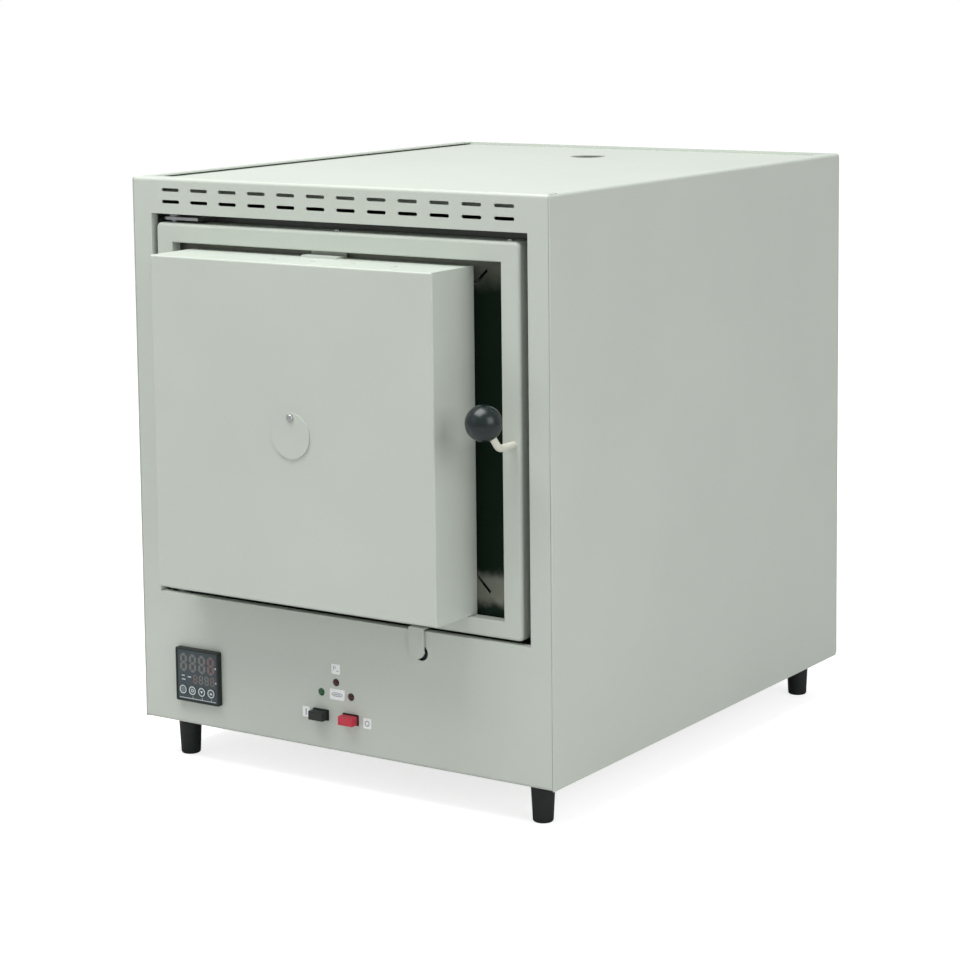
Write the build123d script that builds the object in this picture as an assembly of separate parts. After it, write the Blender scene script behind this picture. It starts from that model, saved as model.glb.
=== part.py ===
from build123d import *
from math import cos, hypot, radians, sin
import os

# Bench muffle furnace. Every piece is drawn with y = 0 on the cabinet's front face, growing
# to the rear, and z = 0 on the cabinet's underside. save() moves it to the final frame:
# the origin on the floor, under the middle of the whole furnace. All sizes are millimetres.

# ---- cabinet ----
CABINET_WIDTH = 430.0
CABINET_HEIGHT = 483.0
CABINET_DEPTH = 512.0
SHEET = 1.2                  # thickness of the cabinet's steel sheet
BEND = 3.0                   # outer radius of the cabinet's long folds
SIDE_EDGE = 0.5              # rounding of the side panels' upright front edges
FRONT_RETURN = 14.0          # depth of the front panel's folded edges
SEAM = 0.4                   # gap between neighbouring cabinet panels
TOP_FLANGE = 13.0            # width of the side panels' flanges along the top
TOP_SUNK = 2.6               # top panel lies this much below those flanges
LID_FOLD = 12.0              # depth of the top panel's folded front and sides
RELIEF_D = 3.0               # round relief where two folds meet at a corner

# ---- feet ----
FOOT_HEIGHT = 36.0
FOOT_TOP_D = 21.0
FOOT_FLOOR_D = 17.2
FOOT_INSET_X = 28.0          # from the cabinet's side to the foot's centre
FOOT_INSET_Y = 27.4          # from the cabinet's front or rear to the foot's centre
FOOT_ROUND = 2.0
FOOT_RECESS_D = 11.0         # recess for the screw's head
FOOT_RECESS_DEEP = 10.0
SCREW_D = 5.0                # shank of the screws that hold the feet
SCREW_HEAD = 3.5
SCREW_NUT = 4.0
SCREW_TAIL = 2.0             # shank beyond the nut

# ---- door opening in the front panel ----
OPENING_MARGIN_SIDE = 21.0
OPENING_MARGIN_TOP = 31.3
OPENING_BOTTOM = 116.5
OPENING_RETURN = 8.0         # depth of the opening's folded lips

# ---- vent slots above the door ----
VENT_COLUMNS = 12
VENT_PITCH = 31.3
VENT_LENGTH = 19.4
VENT_HEIGHT = 3.0
VENT_ROWS_BELOW_TOP = (10.5, 20.8)

# ---- door frame ----
DOOR_GAP_LEFT = 3.5
DOOR_GAP_RIGHT = 9.0
DOOR_GAP_TOP = 7.9
DOOR_GAP_BOTTOM = 2.7
DOOR_RECESS = 1.6            # frame face behind the cabinet face
DOOR_FRAME_DEPTH = 22.4
DOOR_SHEET = 1.5
DOOR_ROUND = 3.0             # rounding of the frame's outer front edges
DOOR_CORNER = 4.5            # corner radius of the frame, seen from the front
STILE = 17.8                 # width of the frame's two uprights
RAIL_TOP = 16.8
RAIL_BOTTOM = 14.8
INNER_ROUND = 1.2            # rounding of the frame's inner front edges
REAR_LIP = 9.0               # width of the frame's folded rear lip
TOP_SCREW_D = 6.0            # heads of the two screws on the frame's top edge
TOP_SCREW_HEAD = 1.8
TOP_SCREW_INSET = 13.0       # from the frame's right edge to the second screw
TOP_SCREW_Y = 9.6

# ---- plate and box cover inside the frame ----
PLATE_SUNK = 10.6            # plate behind the frame face
PLATE_SHEET = 1.0
PLATE_TUCK = 3.0             # the plate's edge behind the frame's inner walls
SLIT_LENGTH = 18.0           # diagonal expansion slits at the plate's corners
SLIT_WIDTH = 2.2
SLIT_FROM_SIDE = 0.8         # slit starts this far outside the box cover's side
SLIT_BELOW_TOP = 15.6        # upper slits start this far below the box cover's top
SLIT_ABOVE_BOTTOM = 31.7     # lower slits start this far above its bottom
COVER_REACH = 47.0           # box cover ahead of the cabinet face
COVER_MARGIN_LEFT = 16.5     # from the frame's inner edge to the box cover
COVER_MARGIN_RIGHT = 33.1
COVER_MARGIN_TOP = 5.4
COVER_MARGIN_BOTTOM = 0.8
COVER_SHEET = 1.2
COVER_ROUND = 1.6
COVER_FLANGE = 3.0           # upper and lower flanges of the box cover, behind the plate
COVER_VENT_D = 5.0
COVER_VENT_COUNT = 4
COVER_VENT_PITCH = 41.6
COVER_VENT_FIRST = 114.0     # from the box cover's left side
COVER_VENT_Y = -23.9
CLIP_WIDTH = 36.0
CLIP_DEPTH = 16.0
CLIP_SHEET = 2.0
CLIP_OFFSET = 1.0           # from the middle of the box cover

# ---- sight hole ----
SIGHT_OFFSET_X = 2.2         # from the middle of the box cover
SIGHT_OFFSET_Z = 0.5
SIGHT_BORE_D = 16.0
SIGHT_TUBE_WALL = 2.0
SIGHT_DISC_D = 38.5
SIGHT_DISC_SHEET = 1.2
SIGHT_PIVOT_UP = 15.0        # pivot above the disc's centre
SIGHT_PIVOT_D = 3.0
SIGHT_HEAD_D = 6.5
SIGHT_HEAD = 2.0
SIGHT_HEAD_ROUND = 1.6
SIGHT_NUT = 2.0

# ---- door back ----
BACK_SHEET = 1.2
BACK_INSET = 2.5             # back plate's edge inside the frame's edge
PLUG_DEPTH = 40.0
PLUG_GAP = 6.0               # round the plug's root, inside the chamber's walls
PLUG_TAPER = 6.0             # the plug's nose is this much smaller on each side
PLUG_CORNER = 8.0
PLUG_NOSE_CORNER = 6.0
SEAL_WIDTH = 8.0
SEAL_CORNER = 14.0           # outer corner radius of the seal
SEAL_OFFSET = 12.0           # from the chamber's mouth to the middle of the seal

# ---- hinges ----
HINGE_INSET = 12.5           # from the frame's left edge to the hinge axis
HINGE_PIN_D = 6.0
HINGE_PLATE = 2.5
HINGE_EYE = 9.0              # radius of the bracket's rounded end, round the pin
HINGE_LIFT = 2.5             # upper bracket above the frame
HINGE_REACH = 33.0           # from the hinge axis to the bracket's far end
HINGE_LEG = 10.0             # height of the bracket's screwed leg
BUSH_WALL = 1.5
BUSH_LENGTH = 8.0
PIN_HEAD = 1.5
PIN_HEAD_D = 10.0
PIN_COLLAR_D = 9.0           # collar under the door, on the lower pin
PIN_TAIL = 3.0               # lower pin below its bracket
RUNNING = 0.05               # radial clearance of shafts in their holes
AXIS_FROM_FACE = 11.0        # hinge axis behind the frame's face
SWING_CLEARANCE = 1.0        # between the swinging frame's corner and the furnace body

# ---- handle and latch ----
HANDLE_INSET = 7.0           # from the frame's right edge to the rod
HANDLE_UP = 161.2            # from the frame's bottom edge to the rod
ROD_D = 6.0
ROD_STRAIGHT = 21.0          # rod ahead of the frame face before it bends
ROD_BEND = 9.0
ROD_RISE = 23.9              # from the rod's axis up to the ball's centre
ROD_LEAN = 47.6              # degrees above level
BALL_D = 30.0
BALL_FLAT = 1.2
CAM_REACH = 23.0
CAM_WIDTH = 10.0
CAM_SHEET = 3.0
CAM_ROOM = 1.5               # slot in the upright, beyond the cam
CAM_BEHIND_FACE = 12.4       # cam's front face behind the frame's face
HANDLE_NUT = 3.0             # thickness of the nut behind the cam
KEEPER_GRIP = 5.0            # overlap of the cam and the keeper when latched
KEEPER_SHEET = 2.5
KEEPER_MARGIN = 4.0          # keeper beyond the cam, above and below
CLEAR = 0.3                  # small gap between pieces that pass each other

# ---- furnace body ----
BODY_SHEET = 1.5
BODY_LIP = 12.0              # furnace front plate beyond the sides of the door opening
BODY_LIP_TOP = 5.0           # the same above the opening, clear of the vents
BODY_LIP_BOTTOM = 18.0       # and below it
SHELF_Z = 137.0              # top of the electrics compartment
AIR_GAP = 37.8               # between the inner case and the cabinet's sides
REAR_SPACE = 22.0            # between the inner case and the rear panel
REAR_INSULATION = 40.0
CHAMBER_WIDTH = 200.0
CHAMBER_HEIGHT = 130.0
MUFFLE_WALL = 15.0
COIL_D = 9.0
COILS_PER_WALL = 4
COIL_PITCH = 28.0
COIL_END = 18.0              # coil stops this far from the chamber's ends
COIL_ROOM = 1.0              # between a coil and its groove
HEARTH = 8.0                 # thickness of the hearth plate
HEARTH_GAP = 5.0
HEARTH_ROUND = 1.5
EXHAUST_BORE_D = 22.0
EXHAUST_WALL = 3.0
EXHAUST_HOLE_D = 33.0
EXHAUST_SUNK = 10.0          # the tube ends this much below the top panel
EXHAUST_FROM_REAR = 101.0    # from the cabinet's rear to the exhaust's axis
PROBE_D = 8.0
PROBE_REACH = 24.0           # thermocouple inside the chamber
PROBE_OFFSET = 45.0
PROBE_HEAD_D = 16.0
PROBE_HEAD = 14.0            # length of the connection head

# ---- controls on the lower front ----
CONTROLLER = 48.0            # square face of the panel controller
CONTROLLER_INSET = 63.7      # from the cabinet's left side to its centre
CONTROLLER_UP = 45.6
CONTROLLER_REACH = 5.2
CONTROLLER_CUTOUT = 45.0
CONTROLLER_BODY = 44.4
CONTROLLER_BODY_DEPTH = 78.0
TERMINAL_POCKETS = 5         # screw pockets in the controller's rear
POCKET_PITCH = 8.0
POCKET_WIDTH = 5.0
POCKET_HEIGHT = 10.0
POCKET_DEPTH = 6.0
CLAMP_DEPTH = 12.0
CLAMP_WALL = 4.0
BEZEL_RIM = 1.8
BEZEL_CORNER = 1.5
BEZEL_ROUND = 0.8
HOUSING_ROUND = 2.0
WINDOW_SUNK = 0.6
WINDOW_SHEET = 1.0
KEY_D = 8.6
KEY_PITCH = 10.5
KEY_UP = 10.6                # from the bezel's bottom edge to the keys' centres
KEY_PROUD = 0.7
KEY_TRAVEL = 0.5
KEY_ROUND = 0.4
LAMP_D = 6.5
LAMP_DOME = 1.6
LAMP_RIM = 0.2               # lens rim ahead of the panel
LAMP_NUT = 3.0
LAMP_NUT_RIM = 2.0           # nut's corners beyond the lamp
LAMP_BODY_DEPTH = 24.0
RED_LAMPS = ((-2.5, 60.1), (13.0, 49.7))
GREEN_LAMP = (-18.2, 49.8)
BUTTON_WIDTH = 14.5
BUTTON_HEIGHT = 7.5
BUTTON_REACH = 9.5
BUTTON_UP = 30.3
START_X = -18.8
STOP_X = 12.5
BUTTON_TRAVEL = 3.5
BUTTON_TAIL = 2.0            # button behind the front sheet
BUTTON_ROOM = 2.0            # well beyond the pressed button
BUTTON_ROUND = 0.8
COLLAR_REACH = 1.4
COLLAR_LIP = 0.7
SWITCH_DEPTH = 34.0
SWITCH_MARGIN = 7.0

# ---- door interlock ----
TONGUE_X = 82.5
TONGUE_WIDTH = 15.0
TONGUE_DROP = 26.4           # below the frame's bottom edge
TONGUE_SHEET = 1.5
TONGUE_FOOT = 18.8           # depth of the foot under the frame
TONGUE_STANDOFF = 0.7        # in front of the cabinet face
PLUNGER_X = 86.0
PLUNGER_BELOW = 21.5         # below the frame's bottom edge
PLUNGER_D = 7.0
PLUNGER_HOLE_D = 13.5
PLUNGER_LENGTH = 18.0
INTERLOCK_WIDTH = 22.0
INTERLOCK_DEPTH = 22.0
INTERLOCK_BELOW = 19.0       # housing below the plunger
INTERLOCK_ABOVE = 9.0
BRACKET_SHEET = 2.0
BRACKET_HEIGHT = 14.0

# ---- electrics and rear ----
RELAY = (45.0, 58.0, 26.0)
RELAY_X = 60.0
RELAY_ROUND = 2.0
RELAY_FROM_REAR = 150.0      # from the cabinet's rear to the relay's centre
SINK_MARGIN = 5.0            # the heat sink beyond the relay, on each side
SINK_PLATE = 5.0
FIN_SHEET = 2.0
FIN_COUNT = 6
FIN_HEIGHT = 34.0
TERMINAL = (72.0, 22.0, 18.0)
TERMINAL_WAYS = 6
TERMINAL_FROM_REAR = 70.0
TERMINAL_SCREW_D = 5.0
TERMINAL_SCREW_DEEP = 4.0
GLAND_D = 20.0
GLAND_REACH = 20.0
GLAND_BORE_D = 9.0
GLAND_STEM_D = 15.8
GLAND_HEX = 6.0              # thickness of the hexagon outside the rear panel
GLAND_NUT = 4.0
GLAND_ROUND = 4.0
GLAND_HEX_R = 12.0           # to the hexagon's corners
GLAND_NUT_R = 11.0
GLAND_INSET = 60.0           # from the cabinet's left side
GLAND_UP = 45.0
LOUVRE_COUNT = 8
LOUVRE_LENGTH = 90.0
LOUVRE_HEIGHT = 4.0
LOUVRE_PITCH = 11.0
LOUVRE_FIRST = 25.0          # lowest slot above the cabinet's underside

# ---- values that follow ----
HALF = CABINET_WIDTH / 2
OPEN_X = HALF - OPENING_MARGIN_SIDE
OPEN_TOP = CABINET_HEIGHT - OPENING_MARGIN_TOP
DOOR_LEFT = -OPEN_X + DOOR_GAP_LEFT
DOOR_RIGHT = OPEN_X - DOOR_GAP_RIGHT
DOOR_BOTTOM = OPENING_BOTTOM + DOOR_GAP_BOTTOM
DOOR_TOP = OPEN_TOP - DOOR_GAP_TOP
DOOR_FACE = DOOR_RECESS
DOOR_REAR = DOOR_FACE + DOOR_FRAME_DEPTH
WINDOW_LEFT = DOOR_LEFT + STILE
WINDOW_RIGHT = DOOR_RIGHT - STILE
WINDOW_BOTTOM = DOOR_BOTTOM + RAIL_BOTTOM
WINDOW_TOP = DOOR_TOP - RAIL_TOP
PLATE_Y = DOOR_FACE + PLATE_SUNK
PLATE_REAR = PLATE_Y + PLATE_SHEET
COVER_LEFT = WINDOW_LEFT + COVER_MARGIN_LEFT
COVER_RIGHT = WINDOW_RIGHT - COVER_MARGIN_RIGHT
COVER_BOTTOM = WINDOW_BOTTOM + COVER_MARGIN_BOTTOM
COVER_TOP = WINDOW_TOP - COVER_MARGIN_TOP
COVER_FRONT = -COVER_REACH
COVER_MID_X = (COVER_LEFT + COVER_RIGHT) / 2
CHAMBER_Z = (COVER_BOTTOM + COVER_TOP) / 2
SIGHT_X = COVER_MID_X + SIGHT_OFFSET_X
SIGHT_Z = CHAMBER_Z + SIGHT_OFFSET_Z
BACK_REAR = DOOR_REAR + BACK_SHEET
HINGE_X = DOOR_LEFT + HINGE_INSET
HINGE_Y = DOOR_FACE + AXIS_FROM_FACE
BODY_FACE = HINGE_Y + hypot(HINGE_INSET, DOOR_REAR - HINGE_Y) + SWING_CLEARANCE
BODY_REAR = CABINET_DEPTH - SHEET - REAR_SPACE
CASE_FRONT = BODY_FACE + BODY_SHEET
CHAMBER_REAR = BODY_REAR - SHEET - REAR_INSULATION - MUFFLE_WALL
CASE_X = HALF - SHEET - AIR_GAP
CASE_HALF_HEIGHT = CHAMBER_Z - SHELF_Z
HANDLE_X = DOOR_RIGHT - HANDLE_INSET
HANDLE_Z = DOOR_BOTTOM + HANDLE_UP
BALL_Y = DOOR_FACE - ROD_STRAIGHT - ROD_RISE * cos(radians(ROD_LEAN)) / sin(radians(ROD_LEAN))
BALL_Z = HANDLE_Z + ROD_RISE
CAM_FRONT = DOOR_FACE + CAM_BEHIND_FACE
CAM_REAR = CAM_FRONT + CAM_SHEET
BEZEL_X = -HALF + CONTROLLER_INSET
KEY_Z = CONTROLLER_UP - CONTROLLER / 2 + KEY_UP
TONGUE_FRONT = -TONGUE_STANDOFF - TONGUE_SHEET
PLUNGER_Z = DOOR_BOTTOM - PLUNGER_BELOW
UPPER_PLATE_Z = DOOR_TOP + HINGE_LIFT
LOWER_PLATE_Z = OPENING_BOTTOM - SHEET - CLEAR - HINGE_PLATE
EXHAUST_Y = CABINET_DEPTH - EXHAUST_FROM_REAR
EXHAUST_TOP = CABINET_HEIGHT - TOP_SUNK - SHEET - EXHAUST_SUNK
FRONT_REACH = BALL_D / 2 - BALL_Y
FACE_Y = (FRONT_REACH - CABINET_DEPTH - GLAND_REACH) / 2


def save(name, *pieces):
    """Write one node, moved to the final frame."""
    place = Pos(0, FACE_Y, FOOT_HEIGHT)
    solids = [place * solid for piece in pieces for solid in piece.solids()]
    export_step(solids[0] if len(solids) == 1 else Compound(children=solids), f"parts/{name}.step")


def block(x0, x1, y0, y1, z0, z1):
    """Box between limits."""
    return Pos((x0 + x1) / 2, (y0 + y1) / 2, (z0 + z1) / 2) * Box(x1 - x0, y1 - y0, z1 - z0)


def slab(x0, x1, z0, z1, y0, y1, radius):
    """Plate of even thickness, standing upright, with rounded corners."""
    outline = RectangleRounded(x1 - x0, z1 - z0, radius)
    return Pos((x0 + x1) / 2, y1, (z0 + z1) / 2) * Rot(90, 0, 0) * extrude(outline, y1 - y0)


def rod_y(x, z, y0, y1, d):
    return Pos(x, (y0 + y1) / 2, z) * Rot(90, 0, 0) * Cylinder(d / 2, y1 - y0)


def hexagon_y(x, z, y0, y1, radius):
    """Six-sided block along Y, such as a nut."""
    return Pos(x, y1, z) * Rot(90, 0, 0) * extrude(RegularPolygon(radius, 6), y1 - y0)


def rod_z(x, y, z0, z1, d):
    return Pos(x, y, (z0 + z1) / 2) * Cylinder(d / 2, z1 - z0)


def tube_y(x, z, y0, y1, outer, inner):
    return rod_y(x, z, y0, y1, outer) - rod_y(x, z, y0 - 1, y1 + 1, inner)


def tube_z(x, y, z0, z1, outer, inner):
    return rod_z(x, y, z0, z1, outer) - rod_z(x, y, z0 - 1, z1 + 1, inner)


def front_edges(shape):
    return shape.faces().sort_by(Axis.Y)[0].edges()


def rear_edges(shape):
    return shape.faces().sort_by(Axis.Y)[-1].edges()


# ---- cabinet ----

def vent_slots():
    """Rows of round-ended slots through the front panel, above the door."""
    slots = []
    for column in range(VENT_COLUMNS):
        x = (column - (VENT_COLUMNS - 1) / 2) * VENT_PITCH
        for below in VENT_ROWS_BELOW_TOP:
            z = CABINET_HEIGHT - below
            slots.append(slab(x - VENT_LENGTH / 2, x + VENT_LENGTH / 2, z - VENT_HEIGHT / 2,
                              z + VENT_HEIGHT / 2, -1, SHEET + 1, VENT_HEIGHT / 2 - 0.01))
    return slots


def front_panel():
    """Folded tray between the side panels: door opening, vents and the controls' holes."""
    half = HALF - SHEET - SEAM
    tray = block(-half, half, 0, FRONT_RETURN, 0, CABINET_HEIGHT)
    tray = fillet(front_edges(tray).filter_by(Axis.X), BEND)
    hollow = block(-half + SHEET, half - SHEET, SHEET, FRONT_RETURN + BEND, SHEET, CABINET_HEIGHT - SHEET)
    tray -= fillet(front_edges(hollow).filter_by(Axis.X), BEND - SHEET)
    tray += block(-OPEN_X - SHEET, OPEN_X + SHEET, SHEET / 2, OPENING_RETURN,
                  OPENING_BOTTOM - SHEET, OPEN_TOP + SHEET)
    tray -= block(-OPEN_X, OPEN_X, -1, OPENING_RETURN + 1, OPENING_BOTTOM, OPEN_TOP)
    for side in (-1, 1):
        for z in (0, CABINET_HEIGHT):
            tray -= rod_y(side * half, z, BEND + RELIEF_D / 2, FRONT_RETURN + 1, RELIEF_D)
    half_cut = CONTROLLER_CUTOUT / 2
    tray -= block(BEZEL_X - half_cut, BEZEL_X + half_cut, -1, SHEET + 1,
                  CONTROLLER_UP - half_cut, CONTROLLER_UP + half_cut)
    for x, z in (*RED_LAMPS, GREEN_LAMP):
        tray -= rod_y(x, z, -1, SHEET + 1, LAMP_D + 2 * RUNNING)
    for x in (START_X, STOP_X):
        tray -= collar_block(x, -1, SHEET + 1, CLEAR)
    tray -= rod_y(PLUNGER_X, PLUNGER_Z, -1, SHEET + 1, PLUNGER_HOLE_D)
    for slot in vent_slots():
        tray -= slot
    return tray


def side_panel(side):
    """Sheet with a flange folded inwards along its top, stopping behind the front panel's fold."""
    y1 = CABINET_DEPTH - SHEET - SEAM
    wall = block(HALF - TOP_FLANGE, HALF, 0, y1, 0, CABINET_HEIGHT)
    top_edge = wall.edges().filter_by(Axis.Y).sort_by(lambda e: e.center().X + e.center().Z)[-1]
    wall = fillet(top_edge, BEND)
    hollow = block(HALF - TOP_FLANGE - 1, HALF - SHEET, -1, y1 + 1, -1, CABINET_HEIGHT - SHEET)
    hollow_edge = hollow.edges().filter_by(Axis.Y).sort_by(lambda e: e.center().X + e.center().Z)[-1]
    wall -= fillet(hollow_edge, BEND - SHEET)
    wall -= block(HALF - TOP_FLANGE - 1, HALF - SHEET, -1, FRONT_RETURN + SEAM, -1, CABINET_HEIGHT + 1)
    corner = wall.edges().filter_by(Axis.Z).sort_by(lambda e: e.center().X - e.center().Y)[-1]
    wall = fillet(corner, SIDE_EDGE)
    return wall if side > 0 else mirror(wall, about=Plane.YZ)


def top_panel():
    """Lid under the side panels' flanges, its front and sides folded down, with the exhaust hole."""
    x = HALF - SHEET - CLEAR
    y0 = FRONT_RETURN + SEAM
    y1 = CABINET_DEPTH - SHEET - SEAM
    top = CABINET_HEIGHT - TOP_SUNK
    lid = block(-x, x, y0, y1, top - LID_FOLD, top)
    lid = fillet(lid.edges().filter_by(Axis.Y).group_by(Axis.Z)[-1], BEND)
    hollow = block(-x + SHEET, x - SHEET, y0 + SHEET, y1 + 1, top - LID_FOLD - BEND, top - SHEET)
    lid -= fillet(hollow.edges().filter_by(Axis.Y).group_by(Axis.Z)[-1], BEND - SHEET)
    return lid - rod_z(0, EXHAUST_Y, top - SHEET - 1, top + 1, EXHAUST_HOLE_D)


def louvres():
    """Cooling slots in the rear panel, level with the electrics."""
    slots = []
    for i in range(LOUVRE_COUNT):
        z = LOUVRE_FIRST + i * LOUVRE_PITCH
        slots.append(slab(-LOUVRE_LENGTH / 2, LOUVRE_LENGTH / 2, z - LOUVRE_HEIGHT / 2,
                          z + LOUVRE_HEIGHT / 2, CABINET_DEPTH - SHEET - 1, CABINET_DEPTH + 1,
                          LOUVRE_HEIGHT / 2 - 0.01))
    return slots


def rear_panel():
    """Flat sheet closing the back, with cooling slots and the gland's hole."""
    sheet = slab(-HALF, HALF, 0, CABINET_HEIGHT, CABINET_DEPTH - SHEET, CABINET_DEPTH, BEND)
    for slot in louvres():
        sheet -= slot
    gland_x = -HALF + GLAND_INSET
    return sheet - rod_y(gland_x, GLAND_UP, CABINET_DEPTH - SHEET - 1, CABINET_DEPTH + 1,
                         GLAND_STEM_D + CLEAR)


def foot_centres():
    x = HALF - FOOT_INSET_X
    return [(sx * x, y) for sx in (-1, 1) for y in (FOOT_INSET_Y, CABINET_DEPTH - FOOT_INSET_Y)]


def base_plate():
    """Floor of the cabinet, with the feet's screw holes."""
    x = HALF - SHEET - CLEAR
    plate = block(-x, x, FRONT_RETURN + SEAM, CABINET_DEPTH - SHEET - SEAM, 0, 2 * SHEET)
    for fx, fy in foot_centres():
        plate -= rod_z(fx, fy, -1, 2 * SHEET + 1, SCREW_D + 2 * RUNNING)
    return plate


def feet():
    """Tapered rubber feet with a rounded rim and a recess for the screw head."""
    made = []
    for fx, fy in foot_centres():
        cone = Pos(fx, fy, -FOOT_HEIGHT / 2) * Cone(FOOT_FLOOR_D / 2, FOOT_TOP_D / 2, FOOT_HEIGHT)
        cone = fillet(cone.edges().sort_by(Axis.Z)[0], FOOT_ROUND)
        cone -= rod_z(fx, fy, -FOOT_HEIGHT - 1, -FOOT_HEIGHT + FOOT_RECESS_DEEP, FOOT_RECESS_D)
        made.append(cone - rod_z(fx, fy, -FOOT_HEIGHT, 1, SCREW_D + 2 * RUNNING))
    return made


def foot_screws():
    """Screws up through the feet, each with its nut on the base plate."""
    made = []
    for fx, fy in foot_centres():
        head_top = -FOOT_HEIGHT + FOOT_RECESS_DEEP
        shank = rod_z(fx, fy, head_top - SCREW_HEAD / 2, 2 * SHEET + SCREW_NUT + SCREW_TAIL, SCREW_D)
        head = rod_z(fx, fy, head_top - SCREW_HEAD, head_top, 2 * SCREW_D)
        nut = Pos(fx, fy, 2 * SHEET) * extrude(RegularPolygon(SCREW_D, 6), SCREW_NUT)
        made.append(shank + head + nut)
    return made


# ---- door ----

def door_frame():
    """Folded channel frame: rounded outside, walled window, lipped at the rear."""
    frame = slab(DOOR_LEFT, DOOR_RIGHT, DOOR_BOTTOM, DOOR_TOP, DOOR_FACE, DOOR_REAR, DOOR_CORNER)
    frame = fillet(front_edges(frame), DOOR_ROUND)
    hollow = slab(DOOR_LEFT + DOOR_SHEET, DOOR_RIGHT - DOOR_SHEET, DOOR_BOTTOM + DOOR_SHEET,
                  DOOR_TOP - DOOR_SHEET, DOOR_FACE + DOOR_SHEET, DOOR_REAR - DOOR_SHEET,
                  DOOR_CORNER - DOOR_SHEET)
    frame -= fillet(front_edges(hollow), DOOR_ROUND - DOOR_SHEET)
    frame -= block(DOOR_LEFT + REAR_LIP, DOOR_RIGHT - REAR_LIP, DOOR_REAR - DOOR_SHEET - 1, DOOR_REAR + 1,
                   DOOR_BOTTOM + REAR_LIP, DOOR_TOP - REAR_LIP)
    frame += block(WINDOW_LEFT - DOOR_SHEET, WINDOW_RIGHT + DOOR_SHEET, DOOR_FACE + DOOR_SHEET / 2, PLATE_Y,
                   WINDOW_BOTTOM - DOOR_SHEET, WINDOW_TOP + DOOR_SHEET)
    frame -= block(WINDOW_LEFT, WINDOW_RIGHT, DOOR_FACE - 1, PLATE_Y + 1, WINDOW_BOTTOM, WINDOW_TOP)
    frame = fillet(window_edges(frame), INNER_ROUND)
    frame += rod_y(HANDLE_X, HANDLE_Z, DOOR_FACE + DOOR_SHEET / 2, CAM_FRONT - CLEAR, ROD_D + 2 * BUSH_WALL)
    frame -= rod_y(HANDLE_X, HANDLE_Z, DOOR_FACE - 1, CAM_FRONT + 1, ROD_D + 2 * RUNNING)
    frame -= cam_slot()
    for z in (DOOR_BOTTOM, DOOR_TOP):
        frame -= rod_z(HINGE_X, HINGE_Y, z - DOOR_SHEET - 1, z + DOOR_SHEET + 1, HINGE_PIN_D + 2 * RUNNING)
    return frame


def window_edges(frame):
    """Front edges of the frame's window."""
    def on_window(edge):
        c = edge.center()
        across = WINDOW_LEFT - 0.01 < c.X < WINDOW_RIGHT + 0.01
        upright = WINDOW_BOTTOM - 0.01 < c.Z < WINDOW_TOP + 0.01
        return across and upright and abs(c.Y - DOOR_FACE) < 0.01
    return frame.edges().filter_by(on_window)


def cam_slot():
    """Opening in the right upright's outer wall that the latch cam swings through."""
    return block(DOOR_RIGHT - DOOR_SHEET - 1, DOOR_RIGHT + 1, CAM_FRONT - CLEAR, CAM_REAR + CLEAR,
                 HANDLE_Z - CAM_WIDTH / 2 - CAM_ROOM, HANDLE_Z + CAM_REACH + CAM_ROOM)


def plate_slits():
    """Diagonal expansion slits that point from the box cover's corners to the frame's."""
    slits = []
    for sx, x in ((-1, COVER_LEFT), (1, COVER_RIGHT)):
        for sz, z in ((-1, COVER_BOTTOM + SLIT_ABOVE_BOTTOM), (1, COVER_TOP - SLIT_BELOW_TOP)):
            slit = Rot(0, -45 * sx * sz, 0) * Box(SLIT_LENGTH, 4 * PLATE_SHEET, SLIT_WIDTH)
            away = SLIT_LENGTH / 2 * sin(radians(45))
            slits.append(Pos(x + sx * (SLIT_FROM_SIDE + away), PLATE_Y, z + sz * away) * slit)
    return slits


def door_inner_plate():
    """Bright sheet behind the frame's window, cut out for the box cover."""
    reach = DOOR_SHEET + PLATE_TUCK
    plate = block(WINDOW_LEFT - reach, WINDOW_RIGHT + reach, PLATE_Y, PLATE_REAR,
                  WINDOW_BOTTOM - reach, WINDOW_TOP + reach)
    plate -= block(COVER_LEFT - CLEAR, COVER_RIGHT + CLEAR, PLATE_Y - 1, PLATE_REAR + 1,
                   COVER_BOTTOM - CLEAR, COVER_TOP + CLEAR)
    for slit in plate_slits():
        plate -= slit
    return plate


def door_cover():
    """Raised box over the door's insulation, flanged behind the plate."""
    box = block(COVER_LEFT, COVER_RIGHT, COVER_FRONT, PLATE_REAR + COVER_SHEET, COVER_BOTTOM, COVER_TOP)
    box = fillet(front_edges(box), COVER_ROUND)
    box += block(COVER_LEFT, COVER_RIGHT, PLATE_REAR, PLATE_REAR + COVER_SHEET,
                 COVER_BOTTOM - COVER_FLANGE, COVER_TOP + COVER_FLANGE)
    box -= block(COVER_LEFT + COVER_SHEET, COVER_RIGHT - COVER_SHEET, COVER_FRONT + COVER_SHEET,
                 DOOR_REAR, COVER_BOTTOM + COVER_SHEET, COVER_TOP - COVER_SHEET)
    for i in range(COVER_VENT_COUNT):
        x = COVER_LEFT + COVER_VENT_FIRST + i * COVER_VENT_PITCH
        box -= rod_z(x, COVER_VENT_Y, COVER_TOP - COVER_SHEET - 1, COVER_TOP + 1, COVER_VENT_D)
    box -= rod_y(SIGHT_X, SIGHT_Z, COVER_FRONT - 1, COVER_FRONT + COVER_SHEET + 1, SIGHT_BORE_D)
    pivot_z = SIGHT_Z + SIGHT_PIVOT_UP
    return box - rod_y(SIGHT_X, pivot_z, COVER_FRONT - 1, COVER_FRONT + COVER_SHEET + 1, SIGHT_PIVOT_D)


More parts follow.
